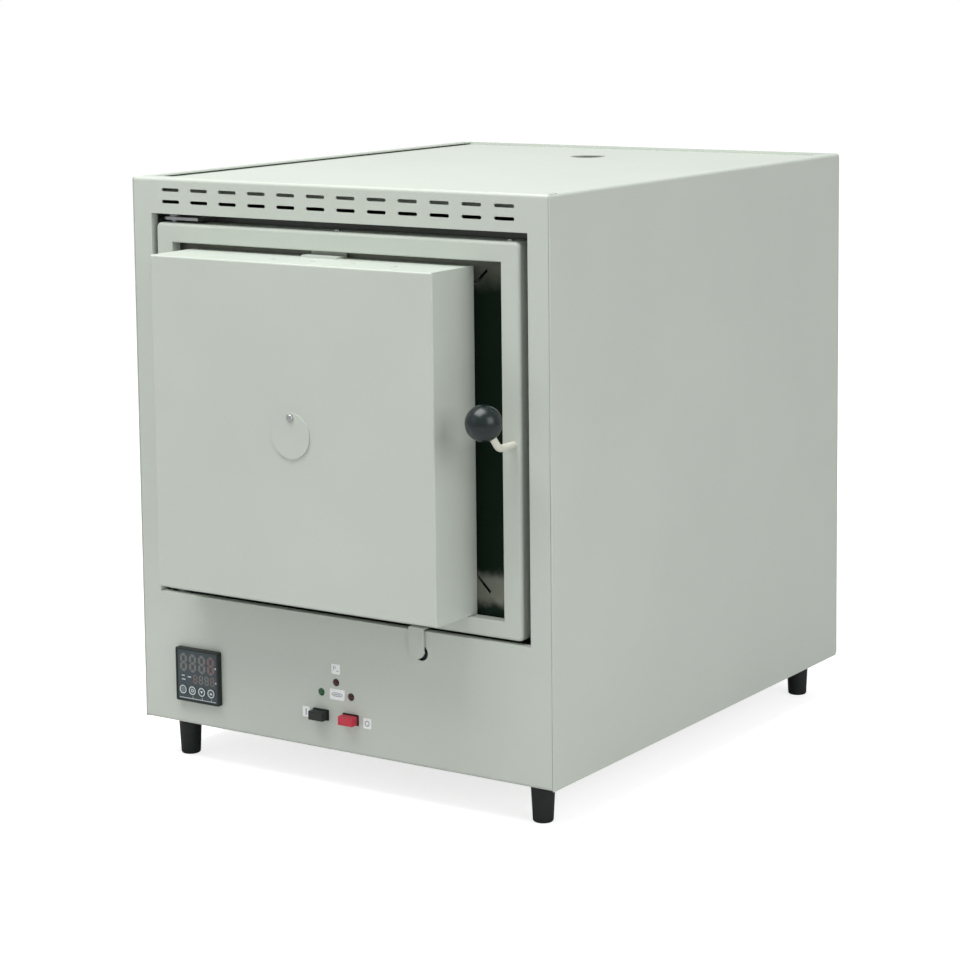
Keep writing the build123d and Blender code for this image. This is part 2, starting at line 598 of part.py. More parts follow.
def cover_clip():
    """Flat tab that holds the box cover's top against the plate."""
    x = COVER_MID_X + CLIP_OFFSET
    tab = block(x - CLIP_WIDTH / 2, x + CLIP_WIDTH / 2, PLATE_Y - CLIP_DEPTH, PLATE_Y,
                COVER_TOP, COVER_TOP + CLIP_SHEET)
    return tab + block(x - CLIP_WIDTH / 2, x + CLIP_WIDTH / 2, PLATE_Y - CLIP_SHEET, PLATE_Y,
                       COVER_TOP, WINDOW_TOP - CLEAR)


def sight_tube():
    """Ceramic tube from the box cover to the plug's nose."""
    return tube_y(SIGHT_X, SIGHT_Z, COVER_FRONT + COVER_SHEET, BACK_REAR + PLUG_DEPTH,
                  SIGHT_BORE_D + 2 * SIGHT_TUBE_WALL, SIGHT_BORE_D)


def sight_hole(y0, y1):
    """Round cut for the sight tube, with a running clearance."""
    return rod_y(SIGHT_X, SIGHT_Z, y0, y1, SIGHT_BORE_D + 2 * SIGHT_TUBE_WALL + 2 * RUNNING)


def door_insulation():
    """Fibre block that fills the box cover and the frame."""
    fill = block(COVER_LEFT + COVER_SHEET, COVER_RIGHT - COVER_SHEET, COVER_FRONT + COVER_SHEET,
                 DOOR_REAR, COVER_BOTTOM + COVER_SHEET, COVER_TOP - COVER_SHEET)
    fill -= rod_y(SIGHT_X, SIGHT_Z + SIGHT_PIVOT_UP, COVER_FRONT, COVER_FRONT + COVER_SHEET + SIGHT_NUT + 1,
                  SIGHT_HEAD_D + 1)
    return fill - sight_hole(COVER_FRONT, DOOR_REAR + 1)


def door_back_plate():
    """Bright sheet that closes the frame's rear."""
    edge = BACK_INSET
    plate = slab(DOOR_LEFT + edge, DOOR_RIGHT - edge, DOOR_BOTTOM + edge, DOOR_TOP - edge,
                 DOOR_REAR, BACK_REAR, DOOR_CORNER)
    return plate - sight_hole(DOOR_REAR - 1, BACK_REAR + 1)


def door_plug():
    """Tapered fibre plug that closes the chamber's mouth."""
    x = CHAMBER_WIDTH / 2 - PLUG_GAP
    z = CHAMBER_HEIGHT / 2 - PLUG_GAP
    root = Plane((0, BACK_REAR, CHAMBER_Z), x_dir=(1, 0, 0), z_dir=(0, -1, 0))
    nose = Plane((0, BACK_REAR + PLUG_DEPTH, CHAMBER_Z), x_dir=(1, 0, 0), z_dir=(0, -1, 0))
    outer = root * RectangleRounded(2 * x, 2 * z, PLUG_CORNER)
    inner = nose * RectangleRounded(2 * (x - PLUG_TAPER), 2 * (z - PLUG_TAPER), PLUG_NOSE_CORNER)
    plug = loft([outer, inner])
    return plug - sight_hole(BACK_REAR - 1, BACK_REAR + PLUG_DEPTH + 1)


def door_seal():
    """Fibre rope round the plug, between the door and the furnace body."""
    x = CHAMBER_WIDTH / 2 + SEAL_OFFSET
    z = CHAMBER_HEIGHT / 2 + SEAL_OFFSET
    half = SEAL_WIDTH / 2
    rear = BODY_FACE - CLEAR
    ring = slab(-x - half, x + half, CHAMBER_Z - z - half, CHAMBER_Z + z + half, BACK_REAR, rear, SEAL_CORNER)
    ring -= slab(-x + half, x - half, CHAMBER_Z - z + half, CHAMBER_Z + z - half, BACK_REAR - 1, rear + 1,
                 SEAL_CORNER - SEAL_WIDTH)
    return fillet(rear_edges(ring), (rear - BACK_REAR) * 0.45)


def hinge_bushes():
    """Flanged bushes inside the frame's rails, on the hinge axis."""
    made = []
    for z, way in ((DOOR_BOTTOM + DOOR_SHEET + CLEAR, 1), (DOOR_TOP - DOOR_SHEET - CLEAR, -1)):
        end = z + way * BUSH_LENGTH
        outer = HINGE_PIN_D + 2 * BUSH_WALL
        made.append(tube_z(HINGE_X, HINGE_Y, min(z, end), max(z, end), outer, HINGE_PIN_D + 2 * RUNNING))
    return made


def door_screws():
    """Pan-head screws on the frame's top edge."""
    made = []
    for x in (0, DOOR_RIGHT - TOP_SCREW_INSET):
        head = rod_z(x, TOP_SCREW_Y, DOOR_TOP, DOOR_TOP + TOP_SCREW_HEAD, TOP_SCREW_D)
        made.append(fillet(head.edges().sort_by(Axis.Z)[-1], TOP_SCREW_HEAD - 0.6))
    return made


def interlock_tongue():
    """Bent strip under the door that presses the safety switch."""
    x0 = TONGUE_X - TONGUE_WIDTH / 2
    x1 = TONGUE_X + TONGUE_WIDTH / 2
    z1 = DOOR_BOTTOM
    z0 = DOOR_BOTTOM - TONGUE_DROP
    lug = block(x0, x1, TONGUE_FRONT, TONGUE_FRONT + TONGUE_SHEET, z0, z1)
    tip = lug.edges().filter_by(Axis.Y).group_by(Axis.Z)[0]
    lug = fillet(tip, TONGUE_WIDTH / 2 - 1)
    foot = block(x0, x1, TONGUE_FRONT, TONGUE_FRONT + TONGUE_FOOT, z1 - TONGUE_SHEET, z1)
    return lug + foot


# ---- handle and latch ----

def handle_rod():
    """Bent rod: straight through the frame's upright, then up to the ball."""
    tail = CAM_REAR + HANDLE_NUT + 1
    bend_y = DOOR_FACE - ROD_STRAIGHT
    points = [(HANDLE_X, tail, HANDLE_Z), (HANDLE_X, bend_y, HANDLE_Z), (HANDLE_X, BALL_Y, BALL_Z)]
    path = FilletPolyline(*points, radius=ROD_BEND)
    return sweep(Plane(path @ 0, z_dir=path % 0) * Circle(ROD_D / 2), path)


def ball_knob():
    """Ball with a small flat where the rod enters."""
    to_rod = Pos(HANDLE_X, BALL_Y, BALL_Z) * Rot(-90 - ROD_LEAN, 0, 0)
    ball = Pos(HANDLE_X, BALL_Y, BALL_Z) * Sphere(BALL_D / 2)
    ball -= to_rod * Pos(0, 0, BALL_D - BALL_FLAT) * Box(BALL_D, BALL_D, BALL_D)
    return ball - to_rod * Pos(0, 0, BALL_D / 2 - CLEAR) * Cylinder(ROD_D / 2 + RUNNING, BALL_D)


def latch_cam():
    """Quarter-turn tongue on the rod's end, upright when the door is free."""
    half = CAM_WIDTH / 2
    arm = block(HANDLE_X - half, HANDLE_X + half, CAM_FRONT, CAM_REAR, HANDLE_Z, HANDLE_Z + CAM_REACH)
    tip = arm.edges().filter_by(Axis.Y).group_by(Axis.Z)[-1]
    arm = fillet(tip, half - 1)
    arm += rod_y(HANDLE_X, HANDLE_Z, CAM_FRONT, CAM_REAR, CAM_WIDTH)
    return arm - rod_y(HANDLE_X, HANDLE_Z, CAM_FRONT - 1, CAM_REAR + 1, ROD_D + 2 * RUNNING)


def handle_nut():
    """Nut that holds the cam on the rod."""
    rear = CAM_REAR + HANDLE_NUT
    nut = hexagon_y(HANDLE_X, HANDLE_Z, CAM_REAR, rear, CAM_WIDTH / 2)
    return nut - rod_y(HANDLE_X, HANDLE_Z, CAM_REAR - 1, rear + 1, ROD_D + 2 * RUNNING)


def latch_keeper():
    """Angle on the furnace body that the turned cam grips."""
    x0 = HANDLE_X + CAM_REACH - KEEPER_GRIP
    x1 = HANDLE_X + CAM_REACH + 2 * CLEAR
    y1 = CAM_FRONT - CLEAR
    z0 = HANDLE_Z - CAM_WIDTH / 2 - KEEPER_MARGIN
    z1 = HANDLE_Z + CAM_REACH + KEEPER_MARGIN
    hook = block(x0, x1 + KEEPER_SHEET, y1 - KEEPER_SHEET, y1, z0, z1)
    return hook + block(x1, x1 + KEEPER_SHEET, y1 - KEEPER_SHEET, BODY_FACE, z0, z1)


# ---- sight-hole cover ----

def sight_cover():
    """Thin disc that hangs from its pivot over the sight hole."""
    rear = COVER_FRONT - RUNNING
    disc = rod_y(SIGHT_X, SIGHT_Z, rear - SIGHT_DISC_SHEET, rear, SIGHT_DISC_D)
    return disc - rod_y(SIGHT_X, SIGHT_Z + SIGHT_PIVOT_UP, rear - SIGHT_DISC_SHEET - 1, rear + 1,
                        SIGHT_PIVOT_D + 2 * RUNNING)


def sight_screw():
    """Domed screw that the disc turns on."""
    z = SIGHT_Z + SIGHT_PIVOT_UP
    under = COVER_FRONT - RUNNING - SIGHT_DISC_SHEET - RUNNING
    behind = COVER_FRONT + COVER_SHEET
    head = rod_y(SIGHT_X, z, under - SIGHT_HEAD, under, SIGHT_HEAD_D)
    head = fillet(front_edges(head), SIGHT_HEAD_ROUND)
    shank = rod_y(SIGHT_X, z, under - SIGHT_HEAD / 4, behind + SIGHT_NUT, SIGHT_PIVOT_D)
    return head + shank + rod_y(SIGHT_X, z, behind, behind + SIGHT_NUT, SIGHT_HEAD_D)


# ---- hinges on the furnace body ----

def hinge_bracket(z, leg):
    """Plate on the hinge axis with a leg screwed to the furnace body; leg is +1 up, -1 down."""
    half = HINGE_EYE
    plate = block(HINGE_X, HINGE_X + HINGE_REACH, HINGE_Y - half, BODY_FACE, z, z + HINGE_PLATE)
    plate += rod_z(HINGE_X, HINGE_Y, z, z + HINGE_PLATE, 2 * half)
    plate += block(HINGE_X - half, HINGE_X + half, HINGE_Y, BODY_FACE, z, z + HINGE_PLATE)
    foot = z if leg > 0 else z + HINGE_PLATE
    plate += block(HINGE_X - half, HINGE_X + HINGE_REACH, BODY_FACE - HINGE_PLATE, BODY_FACE,
                   min(foot, foot + leg * HINGE_LEG), max(foot, foot + leg * HINGE_LEG))
    return plate - rod_z(HINGE_X, HINGE_Y, z - 1, z + HINGE_PLATE + 1, HINGE_PIN_D + 2 * RUNNING)


def hinge_pins():
    """Headed upper pin, and lower pin with the collar that carries the door."""
    depth = DOOR_SHEET + BUSH_LENGTH
    over = UPPER_PLATE_Z + HINGE_PLATE
    upper = rod_z(HINGE_X, HINGE_Y, DOOR_TOP - depth, over + PIN_HEAD, HINGE_PIN_D)
    upper += rod_z(HINGE_X, HINGE_Y, over, over + PIN_HEAD, PIN_HEAD_D)
    lower = rod_z(HINGE_X, HINGE_Y, LOWER_PLATE_Z - PIN_TAIL, DOOR_BOTTOM + depth, HINGE_PIN_D)
    lower += rod_z(HINGE_X, HINGE_Y, LOWER_PLATE_Z + HINGE_PLATE, DOOR_BOTTOM - RUNNING, PIN_COLLAR_D)
    return upper, lower


# ---- furnace body ----

def body_front_plate():
    """Bright front of the furnace body, with the chamber's mouth."""
    x = OPEN_X + BODY_LIP
    plate = block(-x, x, BODY_FACE, BODY_FACE + BODY_SHEET, OPENING_BOTTOM - BODY_LIP_BOTTOM,
                  OPEN_TOP + BODY_LIP_TOP)
    mouth_x = CHAMBER_WIDTH / 2
    mouth_z = CHAMBER_HEIGHT / 2
    return plate - block(-mouth_x, mouth_x, BODY_FACE - 1, BODY_FACE + BODY_SHEET + 1,
                         CHAMBER_Z - mouth_z, CHAMBER_Z + mouth_z)


def inner_case():
    """Sheet box, open to the front, that holds the insulation."""
    z0 = CHAMBER_Z - CASE_HALF_HEIGHT
    z1 = CHAMBER_Z + CASE_HALF_HEIGHT
    box = block(-CASE_X, CASE_X, CASE_FRONT, BODY_REAR, z0, z1)
    box -= block(-CASE_X + SHEET, CASE_X - SHEET, CASE_FRONT - 1, BODY_REAR - SHEET, z0 + SHEET, z1 - SHEET)
    box -= exhaust_cut(CHAMBER_Z, z1 + 1)
    return box - probe_cut(BODY_REAR - 2 * SHEET, BODY_REAR + 1)


def exhaust_cut(z0, z1):
    return rod_z(0, EXHAUST_Y, z0, z1, EXHAUST_BORE_D + 2 * EXHAUST_WALL + 2 * RUNNING)


def probe_cut(y0, y1):
    return rod_y(PROBE_OFFSET, CHAMBER_Z, y0, y1, PROBE_D + 2 * RUNNING)


def insulation_boards():
    """Fibre boards between the muffle and the inner case: floor, roof, sides and rear."""
    x = CASE_X - SHEET
    z = CASE_HALF_HEIGHT - SHEET
    mx = CHAMBER_WIDTH / 2 + MUFFLE_WALL
    mz = CHAMBER_HEIGHT / 2 + MUFFLE_WALL
    y0 = CASE_FRONT
    y1 = CHAMBER_REAR + MUFFLE_WALL
    y2 = BODY_REAR - SHEET
    floor = block(-x, x, y0, y1, CHAMBER_Z - z, CHAMBER_Z - mz)
    roof = block(-x, x, y0, y1, CHAMBER_Z + mz, CHAMBER_Z + z) - exhaust_cut(CHAMBER_Z, CHAMBER_Z + z + 1)
    left = block(-x, -mx, y0, y1, CHAMBER_Z - mz, CHAMBER_Z + mz)
    right = block(mx, x, y0, y1, CHAMBER_Z - mz, CHAMBER_Z + mz)
    rear = block(-x, x, y1, y2, CHAMBER_Z - z, CHAMBER_Z + z) - probe_cut(y1 - 1, y2 + 1)
    return floor, roof, left, right, rear


def coil_heights():
    return [(i - (COILS_PER_WALL - 1) / 2) * COIL_PITCH for i in range(COILS_PER_WALL)]


def muffle_side(side):
    """Ceramic side wall with half-open grooves for the heating coils."""
    x0 = CHAMBER_WIDTH / 2
    half = CHAMBER_HEIGHT / 2
    wall = block(x0, x0 + MUFFLE_WALL, CASE_FRONT, CHAMBER_REAR, CHAMBER_Z - half, CHAMBER_Z + half)
    for dz in coil_heights():
        wall -= rod_y(x0 + COIL_D / 2, CHAMBER_Z + dz, CASE_FRONT + COIL_END - 2 * COIL_ROOM,
                      CHAMBER_REAR - COIL_END + 2 * COIL_ROOM, COIL_D + 2 * COIL_ROOM)
    return wall if side > 0 else mirror(wall, about=Plane.YZ)


def muffle_slab(side):
    """Ceramic floor (-1) or roof (+1) of the chamber."""
    x = CHAMBER_WIDTH / 2 + MUFFLE_WALL
    inner = CHAMBER_Z + side * CHAMBER_HEIGHT / 2
    outer = inner + side * MUFFLE_WALL
    return block(-x, x, CASE_FRONT, CHAMBER_REAR, min(inner, outer), max(inner, outer))


def muffle_roof():
    return muffle_slab(1) - exhaust_bore(CHAMBER_Z, CHAMBER_Z + CHAMBER_HEIGHT)


def exhaust_bore(z0, z1):
    return rod_z(0, EXHAUST_Y, z0, z1, EXHAUST_BORE_D)


def muffle_rear():
    """Ceramic rear wall with the thermocouple's hole."""
    x = CHAMBER_WIDTH / 2 + MUFFLE_WALL
    z = CHAMBER_HEIGHT / 2 + MUFFLE_WALL
    y1 = CHAMBER_REAR + MUFFLE_WALL
    return block(-x, x, CHAMBER_REAR, y1, CHAMBER_Z - z, CHAMBER_Z + z) - probe_cut(CHAMBER_REAR - 1, y1 + 1)


def heating_coils():
    """Outer shape of the wound wire coils that lie in the grooves."""
    made = []
    for side in (-1, 1):
        x = side * (CHAMBER_WIDTH / 2 + COIL_D / 2)
        for dz in coil_heights():
            made.append(rod_y(x, CHAMBER_Z + dz, CASE_FRONT + COIL_END, CHAMBER_REAR - COIL_END, COIL_D))
    return made


def hearth_plate():
    """Loose ceramic plate on the chamber's floor."""
    x = CHAMBER_WIDTH / 2 - HEARTH_GAP
    z0 = CHAMBER_Z - CHAMBER_HEIGHT / 2
    front = BACK_REAR + PLUG_DEPTH + HEARTH_GAP
    plate = block(-x, x, front, CHAMBER_REAR - HEARTH_GAP, z0, z0 + HEARTH)
    return fillet(plate.edges().group_by(Axis.Z)[-1], HEARTH_ROUND)


def exhaust_tube():
    """Ceramic tube from the chamber's roof to a little below the top panel."""
    z0 = CHAMBER_Z + CHAMBER_HEIGHT / 2 + MUFFLE_WALL
    return tube_z(0, EXHAUST_Y, z0, EXHAUST_TOP, EXHAUST_BORE_D + 2 * EXHAUST_WALL, EXHAUST_BORE_D)


def thermocouple():
    """Sheathed probe through the rear insulation, with its connection head behind."""
    sheath = rod_y(PROBE_OFFSET, CHAMBER_Z, CHAMBER_REAR - PROBE_REACH, BODY_REAR + PROBE_HEAD / 2, PROBE_D)
    sheath = fillet(front_edges(sheath), PROBE_D / 2 - 0.5)
    return sheath + rod_y(PROBE_OFFSET, CHAMBER_Z, BODY_REAR, BODY_REAR + PROBE_HEAD, PROBE_HEAD_D)


def shelf():
    """Sheet between the electrics compartment and the furnace body."""
    x = HALF - SHEET - CLEAR
    return block(-x, x, BODY_FACE + BODY_SHEET, CABINET_DEPTH - SHEET - SEAM, SHELF_Z - BODY_SHEET, SHELF_Z)


# ---- controls ----

def controller_bezel():
    """Square front of the controller, with a sunk window and the keys' holes."""
    h = CONTROLLER / 2
    bezel = slab(BEZEL_X - h, BEZEL_X + h, CONTROLLER_UP - h, CONTROLLER_UP + h, -CONTROLLER_REACH, 0,
                 BEZEL_CORNER)
    bezel = fillet(front_edges(bezel), BEZEL_ROUND)
    inner = h - BEZEL_RIM
    film_rear = -CONTROLLER_REACH + WINDOW_SUNK + WINDOW_SHEET
    bezel -= block(BEZEL_X - inner, BEZEL_X + inner, -CONTROLLER_REACH - 1, film_rear,
                   CONTROLLER_UP - inner, CONTROLLER_UP + inner)
    for x in key_centres():
        bezel -= rod_y(x, KEY_Z, -CONTROLLER_REACH - 1, 1, KEY_D + 4 * RUNNING)
    return bezel


def key_centres():
    return [BEZEL_X + (i - 1.5) * KEY_PITCH for i in range(4)]


def controller_window():
    """Printed face film and display window, with the keys' holes."""
    inner = CONTROLLER / 2 - BEZEL_RIM - RUNNING
    front = -CONTROLLER_REACH + WINDOW_SUNK
    film = block(BEZEL_X - inner, BEZEL_X + inner, front, front + WINDOW_SHEET,
                 CONTROLLER_UP - inner, CONTROLLER_UP + inner)
    for x in key_centres():
        film -= rod_y(x, KEY_Z, front - 1, front + WINDOW_SHEET + 1, KEY_D + 4 * RUNNING)
    return film


def controller_key(x):
    """Round key with a softened rim."""
    front = -CONTROLLER_REACH + WINDOW_SUNK - KEY_PROUD
    key = rod_y(x, KEY_Z, front, -KEY_TRAVEL - CLEAR, KEY_D)
    return fillet(front_edges(key), KEY_ROUND)


def controller_body():
    """Controller's housing behind the panel, with its rear terminals."""
    h = CONTROLLER_BODY / 2
    body = block(BEZEL_X - h, BEZEL_X + h, 0, CONTROLLER_BODY_DEPTH, CONTROLLER_UP - h, CONTROLLER_UP + h)
    body = fillet(body.edges().filter_by(Axis.Y), HOUSING_ROUND)
    z0 = CONTROLLER_UP - h + POCKET_HEIGHT / 2
    for i in range(TERMINAL_POCKETS):
        x = BEZEL_X + (i - (TERMINAL_POCKETS - 1) / 2) * POCKET_PITCH
        body -= block(x - POCKET_WIDTH / 2, x + POCKET_WIDTH / 2, CONTROLLER_BODY_DEPTH - POCKET_DEPTH,
                      CONTROLLER_BODY_DEPTH + 1, z0, z0 + POCKET_HEIGHT)
    return body


def controller_clamp():
    """Frame pushed along the housing to grip the front panel from behind."""
    h = CONTROLLER_BODY / 2 + RUNNING
    outer = h + CLAMP_WALL
    rear = SHEET + CLAMP_DEPTH
    clamp = slab(BEZEL_X - outer, BEZEL_X + outer, CONTROLLER_UP - outer, CONTROLLER_UP + outer,
                 SHEET, rear, CLAMP_WALL - 1)
    return clamp - block(BEZEL_X - h, BEZEL_X + h, 0, rear + 1, CONTROLLER_UP - h, CONTROLLER_UP + h)


def lamp(x, z):
    """Indicator with a low domed lens."""
    r = LAMP_D / 2
    stem = rod_y(x, z, -LAMP_RIM, LAMP_BODY_DEPTH, LAMP_D)
    sphere_r = (r * r + LAMP_DOME * LAMP_DOME) / (2 * LAMP_DOME)
    dome = Pos(x, -LAMP_RIM - LAMP_DOME + sphere_r, z) * Sphere(sphere_r)
    dome &= rod_y(x, z, -LAMP_RIM - LAMP_DOME, -LAMP_RIM, LAMP_D)
    return stem + dome + hexagon_y(x, z, SHEET, SHEET + LAMP_NUT, r + LAMP_NUT_RIM)


def collar_block(x, y0, y1, grow):
    """Outline of a button's collar, a little larger than the button."""
    half_x = BUTTON_WIDTH / 2 + COLLAR_LIP + grow
    half_z = BUTTON_HEIGHT / 2 + COLLAR_LIP + grow
    return block(x - half_x, x + half_x, y0, y1, BUTTON_UP - half_z, BUTTON_UP + half_z)


def switch_block():
    """Housing behind the panel, with a collar through it round each button."""
    x0 = START_X - BUTTON_WIDTH / 2 - SWITCH_MARGIN
    x1 = STOP_X + BUTTON_WIDTH / 2 + SWITCH_MARGIN
    half_z = BUTTON_HEIGHT / 2 + SWITCH_MARGIN
    well = SHEET + BUTTON_TAIL + BUTTON_TRAVEL + BUTTON_ROOM
    body = block(x0, x1, SHEET, SWITCH_DEPTH, BUTTON_UP - half_z, BUTTON_UP + half_z)
    for x in (START_X, STOP_X):
        body += collar_block(x, -COLLAR_REACH, SHEET + 1, 0)
        body -= button_block(x, -COLLAR_REACH - 1, well, 2 * RUNNING)
    return body


def button_block(x, y0, y1, grow):
    half_x = BUTTON_WIDTH / 2 + grow
    half_z = BUTTON_HEIGHT / 2 + grow
    return block(x - half_x, x + half_x, y0, y1, BUTTON_UP - half_z, BUTTON_UP + half_z)


def push_button(x):
    """Oblong push button with softened front edges."""
    return fillet(front_edges(button_block(x, -BUTTON_REACH, SHEET + BUTTON_TAIL, 0)), BUTTON_ROUND)


def interlock_switch():
    """Limit switch behind the panel, bored for its plunger."""
    half = INTERLOCK_WIDTH / 2
    y0 = SHEET + BRACKET_SHEET
    body = block(PLUNGER_X - half, PLUNGER_X + half, y0, y0 + INTERLOCK_DEPTH,
                 PLUNGER_Z - INTERLOCK_BELOW, PLUNGER_Z + INTERLOCK_ABOVE)
    return body - rod_y(PLUNGER_X, PLUNGER_Z, y0 - 1, PLUNGER_LENGTH + 2, PLUNGER_D + 2 * RUNNING)


def interlock_plunger():
    """Domed plunger that the tongue holds in while the door is shut."""
    front = TONGUE_FRONT + TONGUE_SHEET + CLEAR
    pin = rod_y(PLUNGER_X, PLUNGER_Z, front, PLUNGER_LENGTH, PLUNGER_D)
    return fillet(front_edges(pin), PLUNGER_D / 2 - 0.6)


def switch_bracket():
    """Strip that fixes the limit switch to the front panel."""
    half = INTERLOCK_WIDTH / 2
    z1 = PLUNGER_Z - PLUNGER_HOLE_D / 2 - 1
    return block(PLUNGER_X - half, PLUNGER_X + half, SHEET, SHEET + BRACKET_SHEET, z1 - BRACKET_HEIGHT, z1)


# ---- electrics and rear ----

def relay_place():
    return RELAY_X, CABINET_DEPTH - RELAY_FROM_REAR, 2 * SHEET


def heat_sink():
    """Finned block on the base plate, under the relay."""
    x, y, z = relay_place()
    w, d, _ = RELAY
    left = x - w / 2 - SINK_MARGIN
    right = x + w / 2 + SINK_MARGIN
    sink = block(left, right, y - d / 2, y + d / 2, z + FIN_HEIGHT, z + FIN_HEIGHT + SINK_PLATE)
    pitch = (right - left - FIN_SHEET) / (FIN_COUNT - 1)
    for i in range(FIN_COUNT):
        fx = left + i * pitch
        sink += block(fx, fx + FIN_SHEET, y - d / 2, y + d / 2, z, z + FIN_HEIGHT)
    return sink


def relay():
    """Solid-state relay that switches the heating current."""
    x, y, z = relay_place()
    w, d, h = RELAY
    top = z + FIN_HEIGHT + SINK_PLATE
    case = block(x - w / 2, x + w / 2, y - d / 2, y + d / 2, top, top + h)
    return fillet(case.edges().group_by(Axis.Z)[-1], RELAY_ROUND)


def terminal_block():
    """Row of screw terminals beside the cable gland."""
    length, width, height = TERMINAL
    x = -HALF + GLAND_INSET
    y = CABINET_DEPTH - TERMINAL_FROM_REAR
    z = 2 * SHEET
    strip = block(x - length / 2, x + length / 2, y - width / 2, y + width / 2, z, z + height)
    pitch = length / TERMINAL_WAYS
    for i in range(TERMINAL_WAYS):
        strip -= rod_z(x - length / 2 + (i + 0.5) * pitch, y, z + height - TERMINAL_SCREW_DEEP,
                       z + height + 1, TERMINAL_SCREW_D)
    return strip


def cable_gland():
    """Gland through the rear panel: hexagon, domed cap and locknut."""
    x = -HALF + GLAND_INSET
    y = CABINET_DEPTH
    hexagon = hexagon_y(x, GLAND_UP, y, y + GLAND_HEX, GLAND_HEX_R)
    cap = rod_y(x, GLAND_UP, y + GLAND_HEX, y + GLAND_REACH, GLAND_D)
    cap = fillet(rear_edges(cap), GLAND_ROUND)
    stem = rod_y(x, GLAND_UP, y - SHEET - 2 * GLAND_NUT, y + GLAND_HEX, GLAND_STEM_D)
    locknut = hexagon_y(x, GLAND_UP, y - SHEET - GLAND_NUT, y - SHEET, GLAND_NUT_R)
    bore = rod_y(x, GLAND_UP, y - SHEET - 2 * GLAND_NUT - 1, y + GLAND_REACH + 1, GLAND_BORE_D)
    return hexagon + cap + stem + locknut - bore


def main():
    os.makedirs("parts", exist_ok=True)
    save("front_panel", front_panel())
    save("left_side_panel", side_panel(-1))
    save("right_side_panel", side_panel(1))
    save("top_panel", top_panel())
    save("rear_panel", rear_panel())
    save("base_plate", base_plate())
    save("feet", *feet())
    save("foot_screws", *foot_screws())
    save("door_frame", door_frame())
    save("door_inner_plate", door_inner_plate())
    save("door_cover", door_cover())
    save("cover_clip", cover_clip())
    save("sight_tube", sight_tube())
    save("door_insulation", door_insulation())
    save("door_back_plate", door_back_plate())
    save("door_plug", door_plug())
    save("door_seal", door_seal())
    save("hinge_bushes", *hinge_bushes())
    save("door_screws", *door_screws())
    save("interlock_tongue", interlock_tongue())
    save("handle_rod", handle_rod())
    save("ball_knob", ball_knob())
    save("latch_cam", latch_cam())
    save("handle_nut", handle_nut())
    save("latch_keeper", latch_keeper())
    save("sight_cover", sight_cover())
    save("sight_screw", sight_screw())
    save("hinge_brackets", hinge_bracket(UPPER_PLATE_Z, 1), hinge_bracket(LOWER_PLATE_Z, -1))
    save("hinge_pins", *hinge_pins())
    save("body_front_plate", body_front_plate())
    save("inner_case", inner_case())
    save("insulation_boards", *insulation_boards())
    save("muffle_left_wall", muffle_side(-1))
    save("muffle_right_wall", muffle_side(1))
    save("muffle_floor", muffle_slab(-1))
    save("muffle_roof", muffle_roof())
    save("muffle_rear_wall", muffle_rear())
    save("heating_coils", *heating_coils())
    save("hearth_plate", hearth_plate())
    save("exhaust_tube", exhaust_tube())
    save("thermocouple", thermocouple())
    save("shelf", shelf())
    save("controller_bezel", controller_bezel())
    save("controller_window", controller_window())
    for i, x in enumerate(key_centres(), start=1):
        save(f"controller_key_{i}", controller_key(x))
    save("controller_body", controller_body())
    save("controller_clamp", controller_clamp())
    save("red_lamps", *[lamp(x, z) for x, z in RED_LAMPS])
    save("green_lamp", lamp(*GREEN_LAMP))
    save("switch_block", switch_block())
    save("start_button", push_button(START_X))
    save("stop_button", push_button(STOP_X))
    save("interlock_switch", interlock_switch(), switch_bracket())
    save("interlock_plunger", interlock_plunger())
    save("relay_and_heat_sink", heat_sink(), relay())
    save("terminal_block", terminal_block())
    save("cable_gland", cable_gland())


main()
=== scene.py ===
# %% [markdown]
# # A bench muffle furnace, dressed in Blender
# The furnace comes in as a frame of solid pieces at their real size. This lesson gives each
# piece the finish of the real one and adds what is too fine for the solids: printed digits,
# key rings, wound heating wire, a twisted fibre rope. Everything is in metres.

# %% Load the frame
import math
import bpy
import numpy as np
from mathutils import Matrix, Vector


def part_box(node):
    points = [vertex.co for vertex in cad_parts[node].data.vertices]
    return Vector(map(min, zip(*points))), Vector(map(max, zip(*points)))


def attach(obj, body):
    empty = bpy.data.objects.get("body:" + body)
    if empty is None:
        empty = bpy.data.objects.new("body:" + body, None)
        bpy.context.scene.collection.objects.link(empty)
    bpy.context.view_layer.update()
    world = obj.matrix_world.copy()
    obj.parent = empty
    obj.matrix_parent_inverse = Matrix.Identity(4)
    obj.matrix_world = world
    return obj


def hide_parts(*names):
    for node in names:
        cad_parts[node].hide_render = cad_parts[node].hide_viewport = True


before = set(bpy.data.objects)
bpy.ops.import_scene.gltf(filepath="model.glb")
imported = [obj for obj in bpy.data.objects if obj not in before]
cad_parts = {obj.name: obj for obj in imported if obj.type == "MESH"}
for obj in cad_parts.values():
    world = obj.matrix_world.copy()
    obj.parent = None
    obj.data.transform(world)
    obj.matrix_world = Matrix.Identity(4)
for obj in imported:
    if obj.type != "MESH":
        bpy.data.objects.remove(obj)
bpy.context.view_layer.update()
MM = 0.001

# %% [markdown]
# ## Camera
# The view is a long lens, a little above the furnace and to its right. A lens that is shifted
# down keeps the upright edges nearly upright while it looks down a little. The camera's turn is
# built from three angles, because that keeps azimuth, height and tilt readable.

# %% Place the camera
FRAME_PIXELS = 960
FOCAL_PIXELS = 2679.0        # focal length, in pixels of a square frame this wide
AZIMUTH = math.radians(33.72)
ELEVATION = math.radians(7.05)
ROLL = math.radians(-0.63)
CAMERA_PLACE = (1.3311, -2.0099, 0.6953)
SHIFT_DOWN = 180 / FRAME_PIXELS
SENSOR_WIDTH = 36            # mm

